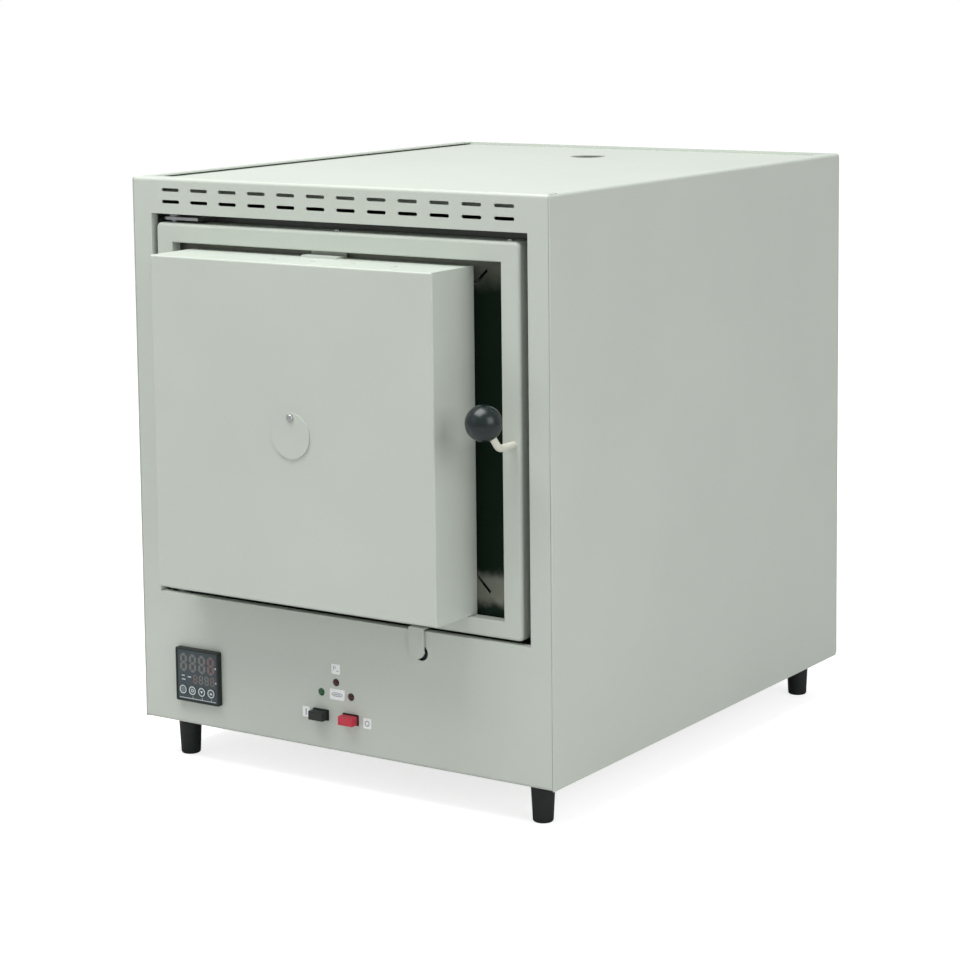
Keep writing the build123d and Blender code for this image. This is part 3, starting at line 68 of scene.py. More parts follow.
back = Vector((math.sin(AZIMUTH) * math.cos(ELEVATION), -math.cos(AZIMUTH) * math.cos(ELEVATION),
               math.sin(ELEVATION)))
level_right = Vector((math.cos(AZIMUTH), math.sin(AZIMUTH), 0))
level_up = back.cross(level_right)
right = level_right * math.cos(ROLL) + level_up * math.sin(ROLL)
up = back.cross(right)
turn = Matrix((right, up, back)).transposed().to_4x4()

camera_data = bpy.data.cameras.new("camera")
camera_data.sensor_width = SENSOR_WIDTH
camera_data.lens = SENSOR_WIDTH * FOCAL_PIXELS / FRAME_PIXELS
camera_data.shift_y = -SHIFT_DOWN
camera = bpy.data.objects.new("camera", camera_data)
camera.matrix_world = Matrix.Translation(CAMERA_PLACE) @ turn
bpy.context.scene.collection.objects.link(camera)
bpy.context.scene.camera = camera
print("lens", round(camera_data.lens, 1), "mm, shift", round(camera_data.shift_y, 3))

# %% [markdown]
# ## Small helpers for finishes
# Every finish is a node tree. One function turns a paint chart's hex colour into the linear
# numbers that Blender works with, and others add a node with its settings and its links, so that
# a finish reads as a list of steps.

# %% Helpers for finishes
def colour(hex_code):
    """Linear colour of an sRGB hex code: below 0.04045 a straight line, above it a power of 2.4."""
    srgb = np.array([int(hex_code[i:i + 2], 16) for i in (1, 3, 5)]) / 255
    linear = np.where(srgb < 0.04045, srgb / 12.92, ((srgb + 0.055) / 1.055) ** 2.4)
    return (*linear.tolist(), 1.0)


def feed(owner, socket, value):
    """Link a value into a socket, or set the socket to it when it is a plain number or colour."""
    if isinstance(value, bpy.types.NodeSocket):
        owner.node_tree.links.new(value, socket)
    else:
        socket.default_value = value


def add(owner, kind, settings=None, **sockets):
    """Add one node: settings are its own options, sockets its inputs, each a value or a link."""
    node = owner.node_tree.nodes.new(kind)
    for name, value in (settings or {}).items():
        setattr(node, name, value)
    for name, value in sockets.items():
        wanted = name.replace("_", " ").lower()
        feed(owner, next(s for s in node.inputs if s.name.lower() == wanted and s.enabled), value)
    return node


def reckon(owner, operation, *values):
    """Result of one Math node: each value is a number or a link."""
    node = add(owner, "ShaderNodeMath", {"operation": operation})
    for socket, value in zip(node.inputs, values):
        feed(owner, socket, value)
    return node.outputs[0]


def blend(owner, share, first, second):
    """Colour between two hex codes, by a share from 0 to 1."""
    node = add(owner, "ShaderNodeMix", {"data_type": "RGBA"}, Factor=share)
    node.inputs[6].default_value = colour(first)
    node.inputs[7].default_value = colour(second)
    return node.outputs[2]


def start_finish(name):
    """New material with an empty tree, and the position that its patterns are worked out from."""
    material = bpy.data.materials.new(name)
    material.use_nodes = True
    material.node_tree.nodes.clear()
    place = add(material, "ShaderNodeTexCoord").outputs["Object"]
    return material, place


def end_finish(material, shader):
    """Send the shader to the surface."""
    add(material, "ShaderNodeOutputMaterial", Surface=shader.outputs[0])
    return material


def per_mm(size_mm):
    """Noise scale, in features per metre, for a feature of this size."""
    return 1 / (size_mm * MM)

# %% [markdown]
# ## Powder coat
# The cabinet, the door frame and the box cover are steel sheet with a baked polyester powder
# coat in a light grey-green. Powder flows a little as it melts, and leaves a shallow ripple like
# orange peel. Two noises make it: a fine one for the ripple and a wide, weak one for the slight
# drift in tone across a large sheet. The gloss is low, so edges catch only a soft light.

# %% Powder coat finish
def powder_coat(name, base, ripple_mm=1.6, depth=0.10):
    material, place = start_finish(name)
    wide = add(material, "ShaderNodeTexNoise", Vector=place, Scale=per_mm(140), Detail=2.0)
    fine = add(material, "ShaderNodeTexNoise", Vector=place, Scale=per_mm(ripple_mm), Detail=3.0)
    tone = add(material, "ShaderNodeValToRGB", Fac=wide.outputs["Fac"])
    low, high = tone.color_ramp.elements
    linear = colour(base)
    low.position, high.position = 0.25, 0.75
    low.color = (*[c * 0.97 for c in linear[:3]], 1)
    high.color = (*[min(1, c * 1.02) for c in linear[:3]], 1)
    gloss = add(material, "ShaderNodeMapRange", Value=fine.outputs["Fac"], To_Min=0.36, To_Max=0.50)
    ripple = add(material, "ShaderNodeBump", Height=fine.outputs["Fac"], Strength=depth, Distance=0.0003)
    paint = add(material, "ShaderNodeBsdfPrincipled", Base_Color=tone.outputs["Color"],
                Roughness=gloss.outputs["Result"], Normal=ripple.outputs["Normal"], IOR=1.5)
    return end_finish(material, paint)


cabinet_paint = powder_coat("powder_coat_grey_green", "#C2C9C0")
rod_paint = powder_coat("powder_coat_ivory", "#D6D7C9", ripple_mm=1.0)
print("paint made:", cabinet_paint.name, rod_paint.name)

# %% [markdown]
# ## Sheet metals
# The plate in the door and the front of the furnace body are cold-rolled stainless sheet, grey
# and only half bright, with rolling lines along the sheet and a cloudy tint from heat. Small
# fixings are zinc plated. A stretched noise draws the rolling lines: its scale is small along
# the sheet and large across it. Real rolling lines are finer than the view can show, so they are
# drawn about a millimetre apart, and the lines of turned and extruded metal likewise.

# %% Sheet metal finish
def rolled_sheet(name, base, line_mm=(90, 90, 1.2), rough=(0.28, 0.46), stain="#5B5750",
                 stain_share=0.35):
    material, place = start_finish(name)
    stretched = add(material, "ShaderNodeMapping", Vector=place,
                    Scale=tuple(per_mm(size) for size in line_mm))
    lines = add(material, "ShaderNodeTexNoise", Vector=stretched.outputs["Vector"], Scale=1.0,
                Detail=4.0)
    cloud = add(material, "ShaderNodeTexNoise", Vector=place, Scale=per_mm(45), Detail=4.0)
    patch = add(material, "ShaderNodeMapRange", Value=cloud.outputs["Fac"], From_Min=0.42, From_Max=0.70,
                To_Min=0.0, To_Max=stain_share)
    tint = blend(material, patch.outputs["Result"], base, stain)
    gloss = add(material, "ShaderNodeMapRange", Value=lines.outputs["Fac"], From_Min=0.3, From_Max=0.7,
                To_Min=rough[0], To_Max=rough[1])
    scratch = add(material, "ShaderNodeBump", Height=lines.outputs["Fac"], Strength=0.06,
                  Distance=0.0002)
    metal = add(material, "ShaderNodeBsdfPrincipled", Base_Color=tint, Metallic=1.0,
                Roughness=gloss.outputs["Result"], Normal=scratch.outputs["Normal"])
    return end_finish(material, metal)


stainless = rolled_sheet("cold_rolled_stainless", "#6E726E", rough=(0.30, 0.48))
zinc = rolled_sheet("zinc_plated_steel", "#B7BABB", line_mm=(6, 6, 6), rough=(0.25, 0.4),
                    stain_share=0.1)
aluminium = rolled_sheet("extruded_aluminium", "#C4C6C8", line_mm=(1.0, 60, 60), stain_share=0.0)
brass = rolled_sheet("turned_brass", "#B59A5B", line_mm=(8, 8, 0.5), stain="#6B5326", stain_share=0.3)
print("metals made")

# %% [markdown]
# ## Blackened plate in the door
# The plate behind the box cover is steel with a hot-blackened skin. The skin is nearly black
# with a green cast, and low in gloss. In a band just above its lower edge, and a little near its top,
# its colour turns lighter grey. The band is a ramp on the distance from its middle height, and a
# noise added to the height frays its borders.

# %% Blackened steel finish
FRAY = 16 * MM               # how far the noise lifts the bands' borders
BAND_CORE = 5 * MM           # fully lighter this far from the band's middle
BAND_REACH = 18 * MM         # and not at all this far from it
TOP_REACH = 26 * MM          # depth of the lighter zone below the plate's top
BAND_UP = 27 * MM            # the band's middle above the plate's lower edge


def blackened_steel(name, base, light_grey, band_z, top_z):
    material, place = start_finish(name)
    split = add(material, "ShaderNodeSeparateXYZ", Vector=place)
    cloud = add(material, "ShaderNodeTexNoise", Vector=place, Scale=per_mm(12), Detail=4.0)
    height = reckon(material, "MULTIPLY_ADD", cloud.outputs["Fac"], FRAY, split.outputs["Z"])
    apart = reckon(material, "ABSOLUTE", reckon(material, "SUBTRACT", height, band_z + FRAY / 2))
    smooth = {"interpolation_type": "SMOOTHSTEP"}
    low = add(material, "ShaderNodeMapRange", smooth, Value=apart, From_Min=BAND_CORE, From_Max=BAND_REACH,
              To_Min=0.9, To_Max=0.0)
    high = add(material, "ShaderNodeMapRange", smooth, Value=height, From_Min=top_z - TOP_REACH,
               From_Max=top_z, To_Min=0.0, To_Max=0.40)
    # Share of light grey: a band above the plate's lower edge, and a little towards its top
    lighter_share = reckon(material, "MAXIMUM", low.outputs["Result"], high.outputs["Result"])
    grain = add(material, "ShaderNodeTexNoise", Vector=place, Scale=per_mm(0.8), Detail=3.0)
    bump = add(material, "ShaderNodeBump", Height=grain.outputs["Fac"], Strength=0.08, Distance=0.0002)
    gloss = add(material, "ShaderNodeMapRange", Value=cloud.outputs["Fac"], To_Min=0.30, To_Max=0.46)
    skin = blend(material, lighter_share, base, light_grey)
    metal = add(material, "ShaderNodeBsdfPrincipled", Base_Color=skin, Metallic=1.0,
                Roughness=gloss.outputs["Result"], Normal=bump.outputs["Normal"])
    return end_finish(material, metal)


plate_low, plate_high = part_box("door_inner_plate")
black_steel = blackened_steel("hot_blackened_steel", "#1C2720", "#8C8C84", plate_low[2] + BAND_UP,
                              plate_high[2])
print("door plate blackened between heights", round(plate_low[2], 3), round(plate_high[2], 3))

# %% [markdown]
# ## Moulded plastics, rubber and lenses
# Switches, controller and ball are moulded. A moulded surface is smooth where the mould was
# polished and grained where it was etched, so each has a roughness of its own and a fine grain.
# Etched grain is a tenth of a millimetre or two, so it is drawn coarser, to show from close by.

# %% Plastic and rubber finish
def moulded(name, base, rough=0.4, grain_mm=0.6, grain=0.05, ior=1.5, mottling=0.06):
    material, place = start_finish(name)
    speck = add(material, "ShaderNodeTexNoise", Vector=place, Scale=per_mm(grain_mm), Detail=2.0)
    cloud = add(material, "ShaderNodeTexNoise", Vector=place, Scale=per_mm(14), Detail=3.0)
    linear = colour(base)
    tone = add(material, "ShaderNodeValToRGB", Fac=cloud.outputs["Fac"])
    low, high = tone.color_ramp.elements
    low.position, high.position = 0.3, 0.7
    low.color = (*[c * (1 - mottling) for c in linear[:3]], 1)
    high.color = (*[min(1, c * (1 + mottling)) for c in linear[:3]], 1)
    gloss = add(material, "ShaderNodeMapRange", Value=cloud.outputs["Fac"],
                To_Min=max(0.02, rough - 0.05), To_Max=rough + 0.05)
    bump = add(material, "ShaderNodeBump", Height=speck.outputs["Fac"], Strength=grain, Distance=0.0002)
    plastic = add(material, "ShaderNodeBsdfPrincipled", Base_Color=tone.outputs["Color"],
                  Roughness=gloss.outputs["Result"], Normal=bump.outputs["Normal"], IOR=ior)
    return end_finish(material, plastic)


phenolic = moulded("polished_phenolic", "#0E1C1C", rough=0.27, grain=0.02)
black_plastic = moulded("black_polyamide", "#141D1A", rough=0.45)
foot_rubber = moulded("moulded_rubber", "#101614", rough=0.62, grain_mm=0.9, grain=0.15)
face_film = moulded("smoked_face_film", "#37444A", rough=0.34, grain=0.01)
key_plastic = moulded("dark_key_film", "#3D494C", rough=0.42, grain=0.02)
red_plastic = moulded("red_abs", "#C0283F", rough=0.38)
red_lens = moulded("dark_red_lens", "#3A0A05", rough=0.18, grain=0.0)
green_lens = moulded("green_lens", "#17502B", rough=0.18, grain=0.0)
print("plastics made")

# %% [markdown]
# ## Ceramics
# The chamber's walls are pressed refractory, chalky and speckled with grog. The boards, the plug
# and the rope are white ceramic fibre: matt, soft and slightly yellow. Heating wire oxidises to
# a dark grey skin.

# %% Refractory and fibre finish
def chalky(name, base, speck_hex, speck_mm=2.2, speck_share=0.3, bump_mm=1.2, depth=0.5):
    material, place = start_finish(name)
    cells = add(material, "ShaderNodeTexVoronoi", Vector=place, Scale=per_mm(speck_mm))
    grains = add(material, "ShaderNodeMapRange", Value=cells.outputs["Distance"], From_Min=0.10,
                 From_Max=0.35, To_Min=speck_share, To_Max=0.0)
    cloud = add(material, "ShaderNodeTexNoise", Vector=place, Scale=per_mm(60), Detail=5.0)
    speckle = reckon(material, "MULTIPLY", grains.outputs["Result"], cloud.outputs["Fac"])
    rough = add(material, "ShaderNodeTexNoise", Vector=place, Scale=per_mm(bump_mm), Detail=6.0)
    bump = add(material, "ShaderNodeBump", Height=rough.outputs["Fac"], Strength=depth, Distance=0.0006)
    grog = blend(material, speckle, base, speck_hex)
    stone = add(material, "ShaderNodeBsdfPrincipled", Base_Color=grog, Roughness=0.9,
                Normal=bump.outputs["Normal"])
    return end_finish(material, stone)


refractory = chalky("pressed_refractory", "#D9CDB6", "#A08B6B")
hearth_ceramic = chalky("fired_hearth_plate", "#CFC4B2", "#8A7458", speck_mm=3.0)
fibre = chalky("ceramic_fibre_board", "#E9E6DC", "#CFC8B4", speck_mm=4.0, bump_mm=2.0, depth=0.8)
heating_wire = rolled_sheet("oxidised_heating_wire", "#5C5652", line_mm=(2, 2, 2), rough=(0.5, 0.7),
                            stain="#2E2A27", stain_share=0.6)
print("ceramics made")

# %% [markdown]
# ## Give each solid its finish
# The nodes keep their shapes. Only the material in their slots changes, by the piece's job.

# %% Assign finishes
FINISHES = {
    cabinet_paint: ("front_panel", "left_side_panel", "right_side_panel", "top_panel", "rear_panel",
                    "base_plate", "door_frame", "door_cover", "cover_clip", "sight_cover",
                    "interlock_tongue"),
    rod_paint: ("handle_rod",),
    stainless: ("door_back_plate", "body_front_plate", "inner_case"),
    black_steel: ("door_inner_plate",),
    zinc: ("foot_screws", "latch_keeper", "hinge_brackets", "hinge_pins", "door_screws",
           "sight_screw", "handle_nut", "latch_cam", "shelf", "interlock_plunger"),
    brass: ("hinge_bushes", "thermocouple"),
    aluminium: ("relay_and_heat_sink",),
    foot_rubber: ("feet",),
    phenolic: ("ball_knob",),
    black_plastic: ("controller_bezel", "controller_body", "controller_clamp", "switch_block",
                    "interlock_switch", "terminal_block", "cable_gland", "start_button"),
    face_film: ("controller_window",),
    key_plastic: tuple(f"controller_key_{i}" for i in range(1, 5)),
    red_plastic: ("stop_button",),
    red_lens: ("red_lamps",),
    green_lens: ("green_lamp",),
    fibre: ("insulation_boards", "door_insulation", "door_plug", "door_seal"),
    refractory: ("muffle_left_wall", "muffle_right_wall", "muffle_floor", "muffle_roof",
                 "muffle_rear_wall", "exhaust_tube", "sight_tube"),
    hearth_ceramic: ("hearth_plate",),
    heating_wire: ("heating_coils",),
}
dressed = set()
for finish, names in FINISHES.items():
    for name in names:
        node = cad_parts[name]
        if not node.material_slots:
            node.data.materials.append(finish)
        for entry in node.material_slots:
            entry.material = finish
        dressed.add(name)
print("dressed", len(dressed), "left plain:", sorted(set(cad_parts) - dressed))

# %% [markdown]
# ## New pieces: one mesh helper and two ways to make a surface
# What follows is too fine for the solids. A flat mark is a closed prism over an outline. A wire,
# a ring, a rope or a turned screw is an outline carried along a path. Both are worked out as whole
# numpy arrays. Each piece is then linked, given a finish and set to ride on the body that carries it.

# %% Helpers for pieces
def make_piece(name, points, faces, finish, slot, body):
    """One mesh object at the origin, made of the given points and lists of corners."""
    mesh = bpy.data.meshes.new(name)
    mesh.from_pydata(points.tolist(), [], faces)
    mesh.update()
    mesh.materials.append(finish)
    piece = bpy.data.objects.new(name, mesh)
    bpy.context.scene.collection.objects.link(piece)
    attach(piece, body)
    print(name, "points", len(points), "faces", len(faces))
    return piece


def prisms(outlines, front, rear):
    """Closed prisms from y = front to rear.

    outlines is n x k x 2 of (x, z), anticlockwise as seen from the front."""
    count, corners, _ = outlines.shape
    depth = np.array([front, rear])[None, :, None, None]
    flat = np.broadcast_to(outlines[:, None], (count, 2, corners, 2))
    across = np.broadcast_to(depth, flat[..., :1].shape)
    points = np.concatenate([flat[..., :1], across, flat[..., 1:]], axis=-1)
    start = (np.arange(count) * 2 * corners)[:, None]
    here = np.arange(corners)
    after = np.roll(here, -1)
    front_faces = start + here
    rear_faces = start + corners + here[::-1]
    sides = np.stack([here, here + corners, after + corners, after], axis=-1)[None] + start[..., None]
    faces = front_faces.tolist() + rear_faces.tolist() + sides.reshape(-1, 4).tolist()
    return points.reshape(-1, 3), faces


def carried(path, across, outline, closed):
    """Surface of an outline carried along a path: point = path + a * across + b * (tangent x across).

    path and across are n x 3, outline is k x 2 or n x k x 2 of (a, b). A closed path joins its ends,
    an open one gets a flat cap at each end."""
    ahead = np.roll(path, -1, axis=0) - np.roll(path, 1, axis=0)
    if not closed:
        ahead[0] = path[1] - path[0]
        ahead[-1] = path[-1] - path[-2]
    ahead /= np.linalg.norm(ahead, axis=1, keepdims=True)
    side = across - ahead * np.sum(across * ahead, axis=1, keepdims=True)
    side /= np.linalg.norm(side, axis=1, keepdims=True)
    third = np.cross(ahead, side)
    outline = np.broadcast_to(outline, (len(path), *outline.shape[-2:]))
    points = path[:, None] + outline[..., :1] * side[:, None] + outline[..., 1:] * third[:, None]
    n, k = outline.shape[:2]
    row = np.arange(n if closed else n - 1)[:, None]
    col = np.arange(k)[None]
    here, beside = row * k, ((row + 1) % n) * k
    quads = np.stack([here + col, here + (col + 1) % k, beside + (col + 1) % k, beside + col], axis=-1)
    faces = quads.reshape(-1, 4).tolist()
    if not closed:
        faces += [list(range(k))[::-1], list(range((n - 1) * k, n * k))]
    return points.reshape(-1, 3), faces


def joined(parts):
    """Several (points, faces) surfaces as one."""
    starts = np.cumsum([0] + [len(points) for points, _ in parts]).tolist()
    faces = [[corner + start for corner in face]
             for start, (_, own) in zip(starts, parts) for face in own]
    return np.concatenate([points for points, _ in parts]), faces


def circle(radius, count):
    """Outline of a circle: (r cos t, r sin t)."""
    t = np.arange(count) * 2 * np.pi / count
    return np.stack([radius * np.cos(t), radius * np.sin(t)], axis=-1)


def ring(x, z, outer, inner, front, rear, count=48):
    """Flat ring facing the front: a box-shaped outline carried round a circle in the x-z plane."""
    t = np.arange(count) * 2 * np.pi / count
    out = np.stack([np.cos(t), np.zeros(count), np.sin(t)], axis=-1)
    path = np.array([x, (front + rear) / 2, z]) + out * (outer + inner) / 2
    half, deep = (outer - inner) / 2, (rear - front) / 2
    box = np.array([(-half, -deep), (half, -deep), (half, deep), (-half, deep)])
    return carried(path, out, box, True)


def rounded_rectangle(width, height, radius, per_corner=6):
    """Outline of a rectangle with round corners, anticlockwise."""
    t = np.linspace(0, np.pi / 2, per_corner)
    arc = radius * np.stack([np.cos(t), np.sin(t)], axis=-1)
    reach = np.array([width / 2 - radius, height / 2 - radius])
    quarter = arc + reach
    turns = [quarter, np.stack([-arc[:, 1], arc[:, 0]], axis=-1) + reach * (-1, 1),
             -arc - reach, np.stack([arc[:, 1], -arc[:, 0]], axis=-1) + reach * (1, -1)]
    return np.concatenate(turns)


panel_low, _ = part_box("front_panel")
PANEL_FACE = panel_low[1]
UNDERSIDE = panel_low[2]
PRINT = 0.04 * MM            # how far printed marks stand out of their face


def printed(outlines, face_y):
    """Marks printed on a face at y = face_y: thin prisms that lie half in it."""
    return prisms(outlines, face_y - PRINT, face_y + PRINT)


print("panel face at", round(PANEL_FACE, 4), "underside at", round(UNDERSIDE, 4))

# %% [markdown]
# ## Controller's printed face
# The controller is switched off, so its digits are ghosts: seven unlit bars each, a little paler
# than the smoked film over them. Every bar is a long hexagon, and all the digits are one array of
# hexagons: bars of one digit, copied to each place. The last digit of each row looks redder.

# %% Ghost digits
ghost_bar = moulded("unlit_segment_grey", "#6E6F6A", rough=0.34, grain=0.0)
ghost_red = moulded("unlit_segment_red", "#75605D", rough=0.34, grain=0.0)
film_low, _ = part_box("controller_window")
film_face = film_low[1]
bezel_low, bezel_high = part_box("controller_bezel")


def seven_bars(width, height, stroke):
    """Seven hexagons of a digit centred on (0, 0): 7 x 6 x 2, anticlockwise."""
    gap = stroke * 0.12
    w, h = (width - stroke) / 2, (height - stroke) / 2
    long, tall, thick = w - gap, h / 2 - gap, stroke / 2
    level = np.array([(-long, 0), (-long + thick, -thick), (long - thick, -thick), (long, 0),
                      (long - thick, thick), (-long + thick, thick)])
    upright = np.array([(0, -tall), (thick, -tall + thick), (thick, tall - thick), (0, tall),
                        (-thick, tall - thick), (-thick, -tall + thick)])
    levels = level + np.array([(0, -h), (0, 0), (0, h)])[:, None]
    uprights = upright + np.array([(-w, -h / 2), (w, -h / 2), (-w, h / 2), (w, h / 2)])[:, None]
    return np.concatenate([levels, uprights])


def digit_row(centres_mm, below_top_mm, width_mm, height_mm, stroke_mm):
    """Digits of one row, placed from the bezel's left and top edges."""
    bars = seven_bars(width_mm * MM, height_mm * MM, stroke_mm * MM)
    x = bezel_low[0] + np.array(centres_mm) * MM
    z = bezel_high[2] - (below_top_mm + height_mm / 2) * MM
    places = np.stack([x, np.full(len(x), z)], axis=-1)
    return (bars[None] + places[:, None, None]).reshape(-1, 6, 2)


BARS = 7                     # bars of one digit
main_row = digit_row((8.8, 19.1, 29.4, 39.4), 4.8, 8.0, 16.4, 2.5)
set_row = digit_row((21.8, 28.2, 34.5, 40.9), 22.8, 4.9, 8.2, 1.3)
pale = np.concatenate([main_row[:3 * BARS], set_row[BARS:3 * BARS]])
reddish = np.concatenate([main_row[3 * BARS:], set_row[:BARS], set_row[3 * BARS:]])
make_piece("ghost_digits_grey", *printed(pale, film_face), ghost_bar, "display_film", "cabinet")
make_piece("ghost_digits_red", *printed(reddish, film_face), ghost_red, "display_film", "cabinet")

# %% [markdown]
# ## White print on the film and the keys
# The film carries small white marks and a thin line under the keys. The marks stand for words on
# the real one; here they stay plain bars. Each key has a pale ring, and three have a pictogram: a
# loop with an arrowhead, a triangle pointing down, and one pointing up. Prints on a key ride on
# that key, so they move in with it.

# %% White marks and key rings
white_print = moulded("white_screen_print", "#C9D2D2", rough=0.45, grain=0.0)
disc_print = moulded("grey_screen_print", "#6E7779", rough=0.45, grain=0.0)


def bar(x_mm, below_top_mm, width_mm, height_mm):
    """Corners of an upright rectangle, placed from the bezel's left and top edges."""
    x = bezel_low[0] + x_mm * MM
    z = bezel_high[2] - below_top_mm * MM
    half = np.array([width_mm, height_mm]) / 2 * MM
    return np.array([x, z]) + half * np.array([(-1, -1), (1, -1), (1, 1), (-1, 1)])


marks = np.stack([bar(8.2, 25.0, 3.4, 0.9), bar(15.2, 25.6, 3.8, 1.0), bar(8.6, 28.4, 4.0, 0.9),
                  bar(44.6, 14.6, 1.3, 1.5), bar(44.9, 27.6, 1.2, 1.5), bar(24.2, 44.9, 41.0, 0.55),
                  bar(18.75, 43.7, 0.45, 2.0), bar(29.25, 43.7, 0.45, 2.0), bar(39.75, 43.7, 0.45, 2.0)])
make_piece("film_marks", *printed(marks, film_face), white_print, "display_film", "cabinet")


def triangle(x, z, size, way):
    """Corners of a triangle that points up (way 1) or down (way -1), anticlockwise."""
    corners = np.array([(-size, -size * 0.6), (size, -size * 0.6), (0, size * 0.8)])
    return np.array([x, z]) + (corners if way > 0 else -corners)


for number in range(1, 5):
    key = f"controller_key_{number}"
    low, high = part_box(key)
    key_x, key_z = (low[0] + high[0]) / 2, (low[2] + high[2]) / 2
    front, rear = low[1] - PRINT, low[1] + PRINT
    make_piece(f"key_{number}_ring", *ring(key_x, key_z, 3.85 * MM, 2.95 * MM, front, rear), white_print,
               "key_plastic", key)
    if number == 1:
        disc = circle(2.3 * MM, 32)[None] + np.array([key_x, key_z])
        make_piece("key_1_disc", *prisms(disc, front, rear), disc_print, "key_plastic", key)
        continue
    if number == 2:
        head = triangle(key_x + 1.15 * MM, key_z - 0.25 * MM, 0.95 * MM, -1)[None]
        loop = ring(key_x, key_z, 1.6 * MM, 0.95 * MM, front, rear, 24)
        signs = joined([loop, prisms(head, front - PRINT, rear)])
    else:
        signs = prisms(triangle(key_x, key_z, 1.7 * MM, 1 if number == 4 else -1)[None], front, rear)
    make_piece(f"key_{number}_sign", *signs, white_print, "key_plastic", key)

# %% [markdown]
# ## Label plates by the lamps and buttons
# Four small plates of white engraved laminate are stuck to the panel: one above the lamps, one
# between them and one beside each button. Their signs are generic: a stroke for on, a ring for
# off, and two plain heating signs. A plate is a rounded rectangle 0.6 mm thick, and the sign's
# bars or rings stand a hair above it, as ink does.

# %% Label plates
laminate = moulded("white_engraved_laminate", "#EEF1F0", rough=0.40, grain_mm=0.5, grain=0.03,
                   mottling=0.03)
grey_ink = moulded("grey_label_ink", "#8C9599", rough=0.5, grain=0.0)
PLATE_THICK = 0.6 * MM
PLATE_CORNER = 0.9 * MM
SIGN_STROKE = 0.6 * MM       # width of the heater sign's oval line
OVAL_POINTS = 40
plate_face = PANEL_FACE - PLATE_THICK


def label_plate(name, x_mm, up_mm, width_mm, height_mm):
    """Rounded plate on the panel, centred x_mm from the middle and up_mm above the underside."""
    centre = np.array([x_mm * MM, UNDERSIDE + up_mm * MM])
    outline = rounded_rectangle(width_mm * MM, height_mm * MM, PLATE_CORNER) + centre
    make_piece(name, *prisms(outline[None], plate_face, PANEL_FACE), laminate, "powder_coat", "cabinet")
    return centre


def ink_bars(centre, bars_mm):
    """Rectangles of ink on a plate: each row of bars_mm is (x, z, width, height) from its centre."""
    rows = np.array(bars_mm) * MM
    half = rows[:, None, 2:] / 2 * np.array([(-1, -1), (1, -1), (1, 1), (-1, 1)])
    return printed(centre + rows[:, None, :2] + half, plate_face)


heat_centre = label_plate("label_heat", -2.3, 71.8, 9.0, 8.6)
step_bars = [(-2.2, 0.6, 0.7, 3.0), (-1.3, 2.2, 1.3, 0.7), (-0.4, 1.0, 0.7, 1.6), (1.9, -1.6, 2.0, 0.7)]
make_piece("label_heat_ink", *ink_bars(heat_centre, step_bars), grey_ink, "display_film", "cabinet")
heater_centre = label_plate("label_heater", -1.2, 49.8, 15.6, 9.4)
x, z = heater_centre
t = np.arange(OVAL_POINTS) * 2 * np.pi / OVAL_POINTS
oval = np.stack([x + 5.4 * MM * np.cos(t), np.full(OVAL_POINTS, plate_face), z + 1.5 * MM * np.sin(t)],
                axis=-1)
out = np.stack([np.cos(t), np.zeros(OVAL_POINTS), np.sin(t)], axis=-1)
stroke = np.array([(-1, -1), (1, -1), (1, 1), (-1, 1)]) * (SIGN_STROKE / 2, PRINT)
heater_sign = joined([carried(oval, out, stroke, True), ink_bars(heater_centre, [(0, 0, 6.5, 0.8)])])
make_piece("label_heater_ink", *heater_sign, grey_ink, "display_film", "cabinet")
on_centre = label_plate("label_on", -34.6, 30.3, 7.6, 9.0)
stroke_sign = ink_bars(on_centre, [(0, 0, 1.1, 5.6)])
make_piece("label_on_ink", *stroke_sign, grey_ink, "display_film", "cabinet")
off_centre = label_plate("label_off", 29.8, 29.2, 8.0, 9.0)
ring_sign = ring(*off_centre, 2.5 * MM, 1.7 * MM, plate_face - PRINT, plate_face + PRINT, 32)
make_piece("label_off_ink", *ring_sign, grey_ink, "display_film", "cabinet")

# %% [markdown]
# ## Heating wire
# The solids show each heater as a plain rod, the space that the coil fills. The real one is a
# close-wound spring of resistance wire that lies in its groove. A helix gives its middle line:
# x and z go round a circle while y runs along the groove. A small six-sided outline is carried along.

# %% Wound heating wire
coils_low, coils_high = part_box("heating_coils")
COIL_RADIUS = 4.5 * MM
WIRE_RADIUS = 0.7 * MM
TURN_PITCH = 3.8 * MM
STEPS_PER_TURN = 12
COIL_SPACING = 28 * MM


def wound_coil(x, z):
    """Helix with its axis along y: (x + r cos t, y0 + pitch t / 2 pi, z + r sin t)."""
    turns = (coils_high[1] - coils_low[1] - 2 * WIRE_RADIUS) / TURN_PITCH
    t = np.linspace(0, 2 * np.pi * turns, int(turns * STEPS_PER_TURN))
    out = np.stack([np.cos(t), np.zeros(len(t)), np.sin(t)], axis=-1)
    axis = np.stack([np.full(len(t), x), coils_low[1] + WIRE_RADIUS + TURN_PITCH * t / (2 * np.pi),
                     np.full(len(t), z)], axis=-1)
    return carried(axis + out * (COIL_RADIUS - WIRE_RADIUS), out, circle(WIRE_RADIUS, 6), False)


coil_x = (coils_low[0] + COIL_RADIUS, coils_high[0] - COIL_RADIUS)
coil_z = coils_low[2] + COIL_RADIUS + COIL_SPACING * np.arange(4)
coil_parts = [wound_coil(x, z) for x in coil_x for z in coil_z]
heating_springs = make_piece("wound_heating_wire", *joined(coil_parts), heating_wire,
                             "resistance_wire", "cabinet")
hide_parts("heating_coils")

# %% [markdown]
# ## Rope seal
# The door closes on a rope of twisted ceramic fibre. Its outline is a flattened circle with eight
# lobes, the strands, and the lobes turn as the outline is carried along the rounded rectangle, so
# the strands wind round the rope. The rope stays inside the space of the plain seal it replaces.

